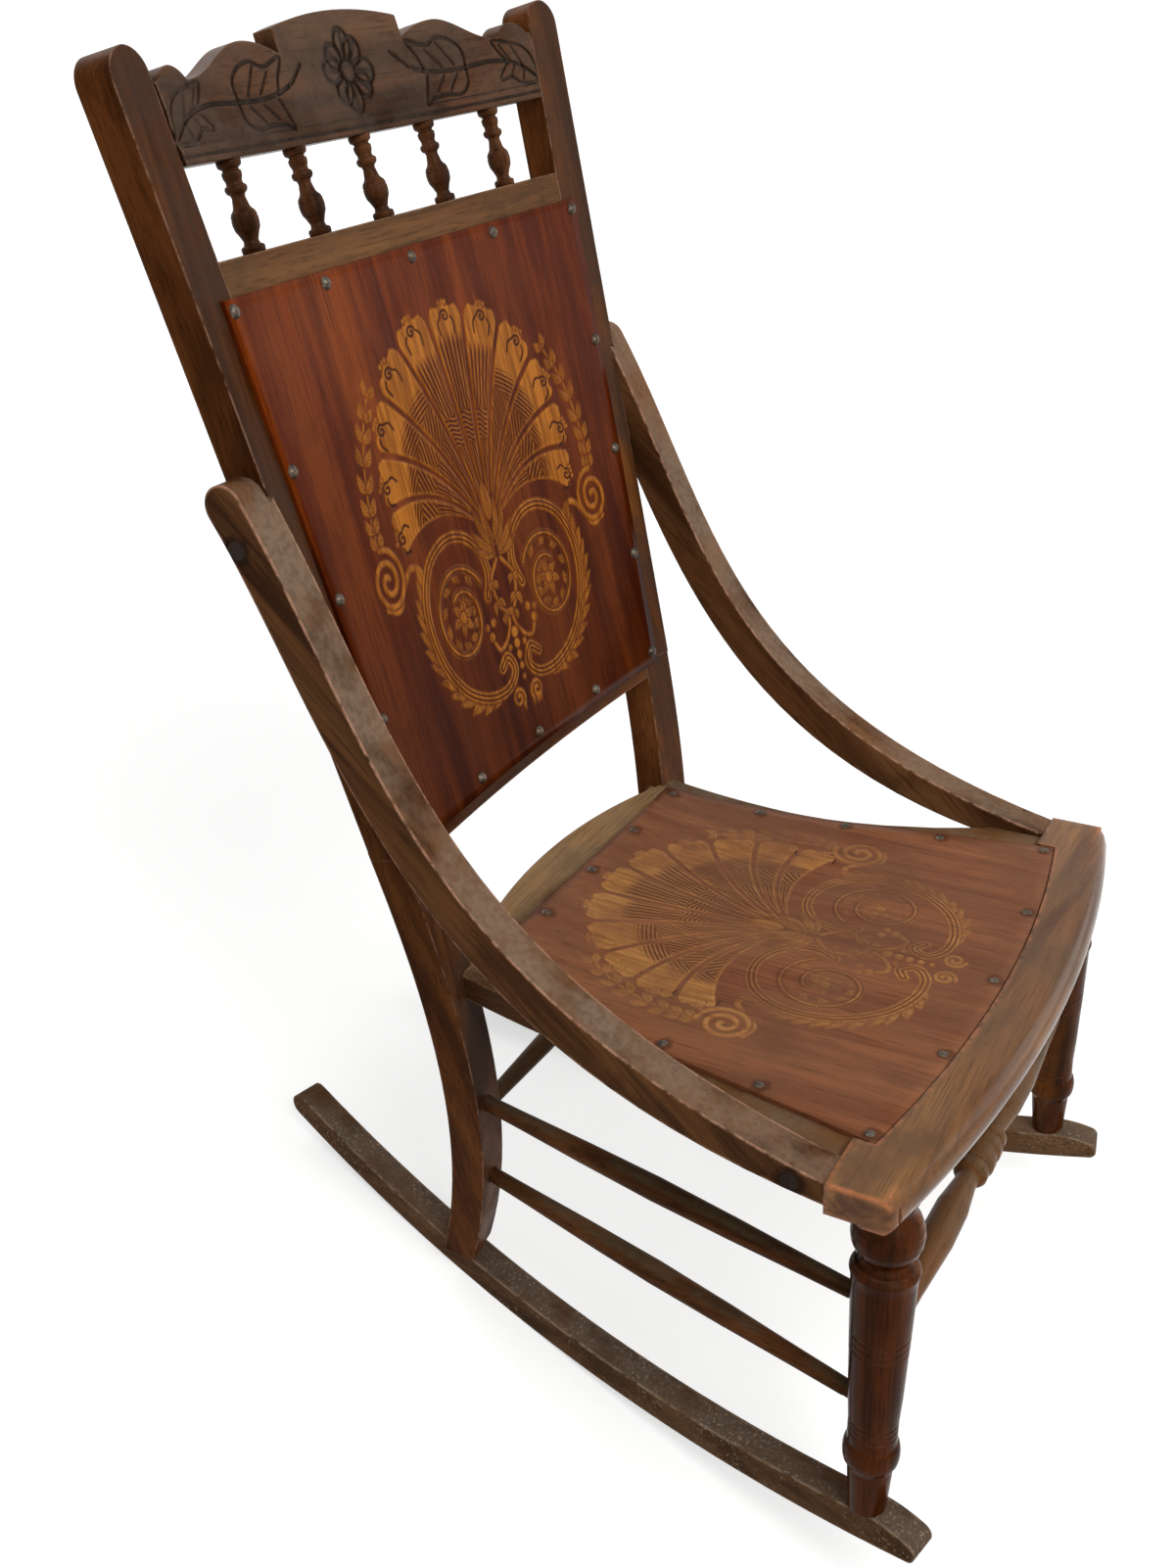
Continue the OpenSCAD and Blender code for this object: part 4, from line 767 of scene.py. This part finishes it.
# the front edge is bowed and the sides splay, so x and y are found together in a few rounds
for _ in range(3):
    y_front = BOW_CENTRE - np.sqrt((BOW_IN - SEAT_GAP) ** 2 - x_seat ** 2)
    y_seat = PANEL_BACK_Y + (y_front - PANEL_BACK_Y) * tt
    half_at = PANEL_BACK_HALF + widening * (PANEL_BACK_Y - y_seat) / (PANEL_BACK_Y - corner_y)
    x_seat = st * (half_at - SEAT_GAP * 0.5)
raise_seat = seat_canvas.sample(seat_canvas.height, x_seat, y_seat)
z_seat = seat_z(y_seat) - SINK + SEAT_RELIEF * raise_seat
seat_top = chair(np.stack([x_seat, y_seat, z_seat], -1))
seat_under = chair(np.stack([x_seat, y_seat, seat_z(y_seat) - SEAT_T], -1))
seat_panel = sheet(
    "seat_panel_pressed",
    seat_top[:, ::-1],
    seat_under[:, ::-1],
    every(len(t_rows), 16),
    every(len(s_seat), 6),
    fields_of(seat_canvas, x_seat[:, ::-1], y_seat[:, ::-1]),
)
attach(seat_panel, "root")
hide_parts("seat_panel")

# crest rail with its carved flower, leaves and lines

CREST_T = 17.0
crest_canvas = Canvas((-216, 448), (216, 536), 0.4)
for m in (-1, 1):
    def crest_line(points):
        p = smooth_line(points, 8)
        p[:, 0] *= m
        return p
    # points, width and depth of each line: stem, two halves of the outer leaf, two of the inner one, veins
    cuts = [
        ([(206, 463), (197, 471), (182, 479), (158, 483), (130, 482), (104, 482), (84, 484), (66, 489),
          (50, 500)],
         1.25, 1.8),
        ([(205, 468), (202, 481), (195, 489), (184, 493), (164, 497), (169, 487), (175, 481)], 1.0, 1.5),
        ([(204, 464), (194, 463), (183, 465), (175, 470), (163, 469), (169, 476), (175, 480)], 1.0, 1.5),
        ([(128, 482), (128, 494), (118, 502), (104, 505), (90, 501), (70, 506), (78, 494), (82, 485)],
         1.1, 1.7),
        ([(128, 481), (126, 471), (116, 465), (100, 466), (84, 465), (76, 462), (80, 473), (84, 481)],
         1.1, 1.7),
        ([(170, 493), (178, 482)], 0.9, 1.2),
        ([(183, 491), (190, 477)], 0.9, 1.2),
        ([(176, 471), (182, 478)], 0.9, 1.2),
        ([(187, 466), (191, 474)], 0.9, 1.2),
        ([(88, 498), (102, 485)], 0.95, 1.4),
        ([(102, 502), (116, 485)], 0.95, 1.4),
        ([(90, 469), (102, 479)], 0.95, 1.4),
        ([(105, 468), (117, 479)], 0.95, 1.4),
    ]
    for points, width, depth in cuts:
        crest_canvas.ink(crest_line(points), width, depth)
for level, width, depth in ((456.2, 0.85, 1.5), (462.0, 0.75, 0.8)):
    crest_canvas.ink([(-215, level), (215, level)], width, depth)
# middle of the flower, lengths of its petals in turn, radius of its button, and the deepest cut
FLOWER = (0.0, 492.0)
PETALS = (26.5, 23.5, 26.0, 24.0)
BUTTON = 7.0
DEEPEST = 2.2
for k in range(8):
    turn = math.radians(90 + 45 * k + (6 if k % 2 else -4))
    way = np.array([math.cos(turn), math.sin(turn)])
    length = PETALS[k % 4]
    across_way = np.array([-way[1], way[0]])
    d = np.stack([crest_canvas.x - FLOWER[0], crest_canvas.y - FLOWER[1]], -1)
    u, s = d @ way, d @ across_way
    middle = length * 0.64
    ring = np.hypot((u - middle) / (length * 0.38), s / 8.0)
    inner = np.clip((1 - ring) * 3, 0, 1)
    crest_canvas.height -= 1.7 * np.exp(-((ring - 1) / 0.17) ** 2) * (u > 5)
    crest_canvas.height -= 0.9 * inner * np.exp(-(s / 2.2) ** 2)
crest_canvas.height = np.maximum(crest_canvas.height, -DEEPEST)
button = np.hypot(crest_canvas.x, crest_canvas.y - FLOWER[1])
domed = -0.3 - 0.5 * (button / BUTTON) ** 2
crest_canvas.height = np.where(button < BUTTON, domed, crest_canvas.height)
crest_canvas.height -= 1.2 * np.exp(-((button - 7.8) / 0.8) ** 2)

crest_node = nodes["crest_rail"]
crest_corners = [v.co for v in crest_node.data.vertices]
tree = BVHTree.FromPolygons(crest_corners, [p.vertices for p in crest_node.data.polygons])
v_way = Vector((back_point(0.0, 0.0, 1000.0) - back_point(0.0, 0.0, 0.0)).tolist()).normalized()
# heights: where the crest's upper edge is looked up from, its middle, and its rise where none is found
CREST_ABOVE, CREST_MIDDLE, CREST_LEAST = 560.0, 490.0, 40
# half width of the raised middle, half width of the crest, the grid's spacing and the steps' width
STEP_X, CREST_HALF, CREST_STEP, STEP_WIDE = 68.0, 203.5, 0.8, 0.06
# width and depth of the rounding along the crest's edges
ROUND_WIDE, ROUND_DEEP = 1.8, 0.9


def crest_top(x):
    """Height of the crest's upper edge at x, looked up on the solid."""
    w = float(bend_w(*CREST_BEND, np.array(x), np.array(CREST_MIDDLE))) + CREST_T / 2
    start = Vector(back_point(x, w, CREST_ABOVE).tolist())
    hit = tree.ray_cast(start, -v_way, 0.15)
    return CREST_ABOVE - hit[3] * 1000 if hit[0] is not None else CREST_LOW + CREST_LEAST


# a column close beside each step of the upper edge keeps the step sharp
outer_x = np.arange(STEP_X + CREST_STEP, CREST_HALF, CREST_STEP)
middle_x = np.arange(-STEP_X, STEP_X + 0.01, CREST_STEP)
beside = STEP_X + STEP_WIDE
columns_x = np.unique(np.round(np.concatenate([middle_x, [beside], outer_x, [-beside], -outer_x]), 3))
end_half = back_inner(CREST_LOW)
rise_share = np.linspace(0, 1, 96)
# near its ends the crest widens with the posts
widen = np.sign(columns_x) * POST_SPLAY
near_end = np.clip(np.abs(columns_x) / end_half, 0, 1) ** 8
top_v = np.array([crest_top(float(x)) for x in columns_x])
for _ in range(2):
    at_top = columns_x + widen * (top_v - CREST_LOW) * near_end
    top_v = np.array([crest_top(float(x)) for x in at_top])
cv = CREST_LOW + (top_v[None, :] - CREST_LOW) * rise_share[:, None]
cx = columns_x[None, :] + widen[None, :] * (cv - CREST_LOW) * near_end[None, :]
cut = crest_canvas.sample(crest_canvas.height, cx, cv)
edge_off = np.minimum(cv - CREST_LOW, top_v[None, :] - cv)
rounding = ROUND_DEEP * np.clip(1 - edge_off / ROUND_WIDE, 0, 1) ** 2
cw = bend_w(*CREST_BEND, cx, cv)
step_at = (-STEP_X, STEP_X, STEP_X + STEP_WIDE / 2)
step_columns = [int(np.searchsorted(columns_x, q)) for q in step_at]
crest = sheet(
    "crest_rail_carved",
    back_point(cx, cw - cut + rounding, cv),
    back_point(cx, cw + CREST_T, cv),
    every(len(rise_share), 2),
    sorted(set(every(len(columns_x), 24) + step_columns)),
    {
        "gold": np.zeros_like(cv),
        "line": np.zeros_like(cv),
        "line_share": np.zeros_like(cv),
        "low": np.maximum(-cut, 0),
    },
)
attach(crest, "root")
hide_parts("crest_rail")


# what the pressed pieces add to the wood

def pressed(gold_dark, gold_light, groove, gold_share, axis=ACROSS, dull=None, painted_shade_from=None):
    """Colour and relief of a pressed or carved piece, from its fields."""
    def add(g, colour, where):
        gold, low, share = g.attribute("gold"), g.attribute("low"), g.attribute("line_share")
        wave = g.math("SINE", g.math("MULTIPLY", g.attribute("line"), 2 * math.pi))
        ridge = g.ramp(wave, -0.5, 0.4)
        furrow = g.math("MULTIPLY", g.math("SUBTRACT", 1.0, ridge), share)
        fibre = g.noise(grain_vector(g, where, axis, 14.0), 260.0, 3.0)
        gilt = g.mix(g.ramp(fibre, 0.35, 0.65), gold_dark, gold_light)
        kept = g.math("SUBTRACT", 1.0, g.math("MULTIPLY", furrow, 0.9))
        amount = g.math("MULTIPLY", g.math("MULTIPLY", gold, kept), gold_share, clamp=True)
        if dull is not None:
            rubbed = g.ramp(g.noise(where, 11.0, 4.0, 0.65), 0.36, 0.62, dull, 1.0)
            amount = g.math("MULTIPLY", amount, rubbed)
        # painted shade: the colour darkens toward the bottom of the panel, between the given heights
        if painted_shade_from is not None:
            low_end, high_end, least = painted_shade_from
            height = g.ramp(g.dot(where, tuple(unit(UP_BACK))), low_end, high_end, least, 1.0)
            painted_shade_colour = g.node("ShaderNodeVectorMath", {0: colour, "Scale": height}, operation="SCALE")
            colour = g.mix(1.0, colour, painted_shade_colour.outputs[0])
        colour = g.mix(amount, colour, gilt)
        carved = g.math("ADD", g.math("MULTIPLY", furrow, 0.7), g.ramp(low, 0.08, 0.75), clamp=True)
        colour = g.mix(carved, colour, groove)
        return colour, g.math("MULTIPLY", g.math("MULTIPLY", ridge, share), 1.5)
    return add


# finishes

# ways of the grain
UP_BACK = tuple(back_point(0.0, 0.0, 1.0) - back_point(0.0, 0.0, 0.0))
DEPTH_WAY = tuple(leaned((0.0, 1.0, 0.0)))
UP_WAY = tuple(leaned((0.0, 0.0, 1.0)))
ARM_WAY = tuple(leaned((0.0, -0.72, -0.69)))

post_wood = dict(dark=(0.032, 0.009, 0.002), mid=(0.105, 0.032, 0.008), light=(0.2, 0.07, 0.018),
                 worn=(0.46, 0.26, 0.17), grey=(0.055, 0.034, 0.025), dust_way=(0, -0.95, 0.3),
                 dust_from=0.5, dust=0.7, edge_wear_and_highlight=0.6, gloss=0.36)
# the arms' bright pinkish edges are partly rubbed-through finish and partly a painted highlight
arm_wood = dict(dark=(0.035, 0.013, 0.005), mid=(0.125, 0.05, 0.018), light=(0.21, 0.095, 0.037),
                worn=(0.62, 0.33, 0.21), grey=(0.21, 0.14, 0.095), dust_way=(0, -0.66, 0.75), dust_from=0.5,
                dust=0.85, edge_wear_and_highlight=0.85, gloss=0.4, edge=0.0034, blotch=0.45,
                stains=middles_of("arm_plugs", 1.0), stain_reach=0.0135, stain_depth=0.75)
leg_wood = dict(dark=(0.013, 0.004, 0.001), mid=(0.085, 0.02, 0.004), light=(0.2, 0.066, 0.014),
                worn=(0.26, 0.12, 0.07), grey=(0.09, 0.05, 0.034), dust=0.12, edge_wear_and_highlight=0.3, gloss=0.2,
                coat=0.03, shine=0.035, crevice_shade=0.85)
runner_wood = dict(dark=(0.04, 0.019, 0.009), mid=(0.11, 0.054, 0.025), light=(0.18, 0.095, 0.047),
                   worn=(0.42, 0.3, 0.2), grey=(0.115, 0.085, 0.064), dust=0.9, dust_from=0.5, edge_wear_and_highlight=0.7,
                   gloss=0.55, edge=0.0036, grit=0.6)
bar_wood = dict(dark=(0.035, 0.013, 0.005), mid=(0.115, 0.043, 0.014), light=(0.2, 0.082, 0.028),
                worn=(0.3, 0.17, 0.09), grey=(0.1, 0.08, 0.05), dust=0.5, edge_wear_and_highlight=0.3, gloss=0.32)
rail_wood = dict(dark=(0.055, 0.024, 0.01), mid=(0.17, 0.08, 0.035), light=(0.27, 0.14, 0.062),
                 worn=(0.48, 0.28, 0.16), grey=(0.17, 0.115, 0.075), dust=0.4, edge_wear_and_highlight=0.5, gloss=0.34)
side_rail_wood = {**rail_wood, "mid": (0.1, 0.042, 0.015), "light": (0.17, 0.075, 0.026), "dust": 1.0,
                  "dust_from": 0.6, "edge_wear_and_highlight": 0.8}
# the bright rubbed colour along the rolled front edge is partly rubbed-through finish and partly a painted
# highlight
front_rail_wood = {**rail_wood, "dark": (0.085, 0.028, 0.007), "mid": (0.2, 0.078, 0.022),
                   "light": (0.33, 0.15, 0.044), "figure": 0.8, "worn": (0.58, 0.2, 0.075), "edge_wear_and_highlight": 1.0,
                   "edge": 0.007, "gloss": 0.19, "coat": 0.3, "shine": 0.08, "swirl": 1.6, "blotch": 0.65,
                   "dust": 0.25, "grey": (0.15, 0.1, 0.05), "crevice_shade": 0.9}
mid_rail_wood = {**rail_wood, "mid": (0.13, 0.053, 0.019), "light": (0.22, 0.1, 0.036),
                 "grey": (0.13, 0.08, 0.045), "dust_way": (0, -0.9, 0.4), "dust": 0.25}
rear_rail_wood = {**rail_wood, "mid": (0.19, 0.1, 0.04), "light": (0.29, 0.17, 0.075),
                  "grey": (0.2, 0.135, 0.08)}
spindle_wood = {**leg_wood, "mid": (0.1, 0.035, 0.013), "light": (0.18, 0.07, 0.027), "gloss": 0.33}
plug_wood = {**leg_wood, "dark": (0.012, 0.008, 0.006), "mid": (0.03, 0.02, 0.015),
             "light": (0.06, 0.04, 0.03), "gloss": 0.5, "edge_wear_and_highlight": 0.0}
front_bar_wood = {**bar_wood, "gloss": 0.22, "shine": 0.06}


def dress(names, material):
    """Gives CAD nodes a finish."""
    for n in names:
        mesh = nodes[n].data
        mesh.materials.clear()
        mesh.materials.append(material)


dress(["back_post_left"], wood("post_near", UP_BACK, seed=1.3, **post_wood))
dress(["back_post_right"], wood("post_far", UP_BACK, seed=5.1, **post_wood))
dress(["front_leg_left"], wood("leg_near", UP_WAY, seed=2.2, **leg_wood))
dress(["front_leg_right"], wood("leg_far", UP_WAY, seed=6.4, **leg_wood))
dress(["front_stretcher"], wood("front_bar", ACROSS, seed=3.7, **front_bar_wood))
dress(["rear_stretcher"], wood("rear_bar", ACROSS, seed=4.7, **bar_wood))
dress(["side_stretcher_upper_left", "side_stretcher_lower_left"],
      wood("bars_near", DEPTH_WAY, seed=7.7, **bar_wood))
dress(["side_stretcher_upper_right", "side_stretcher_lower_right"],
      wood("bars_far", DEPTH_WAY, seed=8.9, **bar_wood))
dress(["runner_left"], wood("runner_near", DEPTH_WAY, seed=9.2, **runner_wood))
dress(["runner_right"], wood("runner_far", DEPTH_WAY, seed=10.6, **runner_wood))
dress(["arm_left"], wood("arm_near", ARM_WAY, seed=11.1, **arm_wood))
dress(["arm_right"], wood("arm_far", ARM_WAY, seed=12.5, **arm_wood))
dress(["spindle_%d" % k for k in range(1, 6)], wood("spindles", UP_BACK, seed=13.3, **spindle_wood))
dress(["back_mid_rail"], wood("mid_rail", ACROSS, seed=14.9, **mid_rail_wood))
dress(["back_lower_rail"], wood("lower_rail", ACROSS, seed=15.4, **post_wood))
dress(["seat_front_rail"], wood("front_rail", ACROSS, seed=16.8, **front_rail_wood))
dress(["seat_side_rail_left"], wood("side_rail_near", DEPTH_WAY, seed=17.3, **side_rail_wood))
dress(["seat_side_rail_right"], wood("side_rail_far", DEPTH_WAY, seed=18.6, **side_rail_wood))
dress(["seat_rear_rail"], wood("rear_rail", ACROSS, seed=19.9, **rear_rail_wood))
dress(["arm_plugs"], wood("plugs", UP_WAY, seed=21.0, **plug_wood))
nail = metal("nail_iron", dark=(0.03, 0.021, 0.014), mid=(0.11, 0.085, 0.062), bright=(0.3, 0.26, 0.21),
             rust=(0.07, 0.04, 0.022))
dress(["back_panel_nails", "seat_panel_nails"], nail)
screw = metal("screw_steel", dark=(0.14, 0.13, 0.12), mid=(0.3, 0.29, 0.27), bright=(0.5, 0.5, 0.48),
              rust=(0.16, 0.1, 0.06))
dress(["arm_screws"], screw)

# heights up the back, in metres, between which the back panel's colour darkens downward as painted shade,
# and its least brightness
PANEL_PAINTED_SHADE = (
    float(unit(UP_BACK) @ back_point(0.0, 0.0, 0.0)),
    float(unit(UP_BACK) @ back_point(0.0, 0.0, 330.0)),
    0.5,
)
back_panel.data.materials.append(wood(
    "panel_back", UP_BACK, dark=(0.07, 0.009, 0.0015), mid=(0.16, 0.028, 0.003), light=(0.26, 0.058, 0.009),
    worn=(0.3, 0.1, 0.03), edge_wear_and_highlight=0.0, dust=0.0, gloss=0.24, shine=0.04, blotch=0.4, crevice_shade=0.3,
    swirl=0.35, edge=0.0006, seed=22.4,
    press=pressed((0.23, 0.068, 0.006), (0.43, 0.145, 0.016), (0.04, 0.006, 0.001), 0.95, UP_BACK,
                  painted_shade_from=PANEL_PAINTED_SHADE)))
seat_panel.data.materials.append(wood(
    "panel_seat", DEPTH_WAY, dark=(0.16, 0.055, 0.026), mid=(0.25, 0.09, 0.04), light=(0.32, 0.13, 0.056),
    worn=(0.36, 0.22, 0.14), edge_wear_and_highlight=0.0, dust=0.3, grey=(0.19, 0.105, 0.062), gloss=0.32, blotch=0.6,
    crevice_shade=0.3, swirl=0.4, edge=0.0006, seed=23.8,
    stains=middles_of("seat_panel_nails", 0.001), stain_reach=0.0085, stain_depth=0.55,
    press=pressed((0.34, 0.14, 0.035), (0.52, 0.24, 0.07), (0.075, 0.024, 0.011), 0.85, DEPTH_WAY,
                  dull=0.22)))
crest.data.materials.append(wood(
    "crest_wood", ACROSS, dark=(0.026, 0.01, 0.004), mid=(0.088, 0.036, 0.016), light=(0.17, 0.08, 0.038),
    worn=(0.38, 0.22, 0.14), edge_wear_and_highlight=0.6, grey=(0.115, 0.085, 0.066), dust=0.4, dust_way=(0.3, -0.9, 0.3),
    dust_from=0.5, gloss=0.32, blotch=0.75, crevice_shade=0.8, seed=24.3,
    press=pressed((0, 0, 0), (0, 0, 0), (0.012, 0.006, 0.004), 0.0)))


# floor, light and white surroundings

# half the floor's side, and how far it lies under the runners, in metres
FLOOR_HALF, FLOOR_DROP = 12.0, 0.0002
floor_mesh = bpy.data.meshes.new("floor")
floor_corners = [(FLOOR_HALF * sx, FLOOR_HALF * sy, 0) for sx, sy in ((-1, -1), (1, -1), (1, 1), (-1, 1))]
floor_mesh.from_pydata(floor_corners, [], [(0, 1, 2, 3)])
floor = bpy.data.objects.new("floor", floor_mesh)
bpy.context.scene.collection.objects.link(floor)
floor.location.z = -FLOOR_DROP
floor_material = bpy.data.materials.new("floor_pale")
floor_material.use_nodes = True
g = Graph(floor_material.node_tree)
seen = g.seen()
across_floor = g.node("ShaderNodeTexCoord").outputs["Object"]
from_middle = g.node("ShaderNodeVectorMath", {0: across_floor}, operation="LENGTH").outputs["Value"]
# the floor glows to the camera, more the further it lies from the chair, and fades into the white
far = g.ramp(from_middle, 0.7, 3.0)
grain = g.noise(across_floor, 3.0, 2.0)
plain = g.node("ShaderNodeBsdfDiffuse", {"Color": g.mix(grain, (0.5, 0.5, 0.49), (0.52, 0.52, 0.515))})
glow = g.node("ShaderNodeEmission", {
    "Color": (1, 1, 1),
    "Strength": g.math("MULTIPLY", seen, g.math("ADD", 0.6, g.math("MULTIPLY", far, 0.24))),
})
both = g.node("ShaderNodeAddShader", {0: plain.outputs[0], 1: glow.outputs[0]})
g.node("ShaderNodeOutputMaterial", {"Surface": both.outputs[0]})
floor_mesh.materials.append(floor_material)

world = bpy.data.worlds.new("studio")
bpy.context.scene.world = world
world.use_nodes = True
g = Graph(world.node_tree)
seen = g.seen()
level = g.math("ADD", 0.5, g.math("MULTIPLY", seen, 0.5))
sky = g.node("ShaderNodeBackground", {"Color": (1, 1, 1), "Strength": level})
g.node("ShaderNodeOutputWorld", {"Surface": sky.outputs[0]})


def lamp(name, at, aim, size, power):
    """A soft square lamp that points at aim."""
    data = bpy.data.lights.new(name, "AREA")
    data.shape = "SQUARE"
    data.size = size
    data.energy = power
    made = bpy.data.objects.new(name, data)
    bpy.context.scene.collection.objects.link(made)
    made.location = at
    made.rotation_mode = "QUATERNION"
    made.rotation_quaternion = (Vector(aim) - Vector(at)).to_track_quat("-Z", "Y")


lamp("key", (-1.2, -1.6, 2.9), (0, 0, 0.4), 1.6, 62)
lamp("fill", (2.4, -1.8, 1.9), (0, 0, 0.4), 1.8, 18)
lamp("rim", (0.8, 2.4, 2.4), (0, 0, 0.5), 1.6, 26)
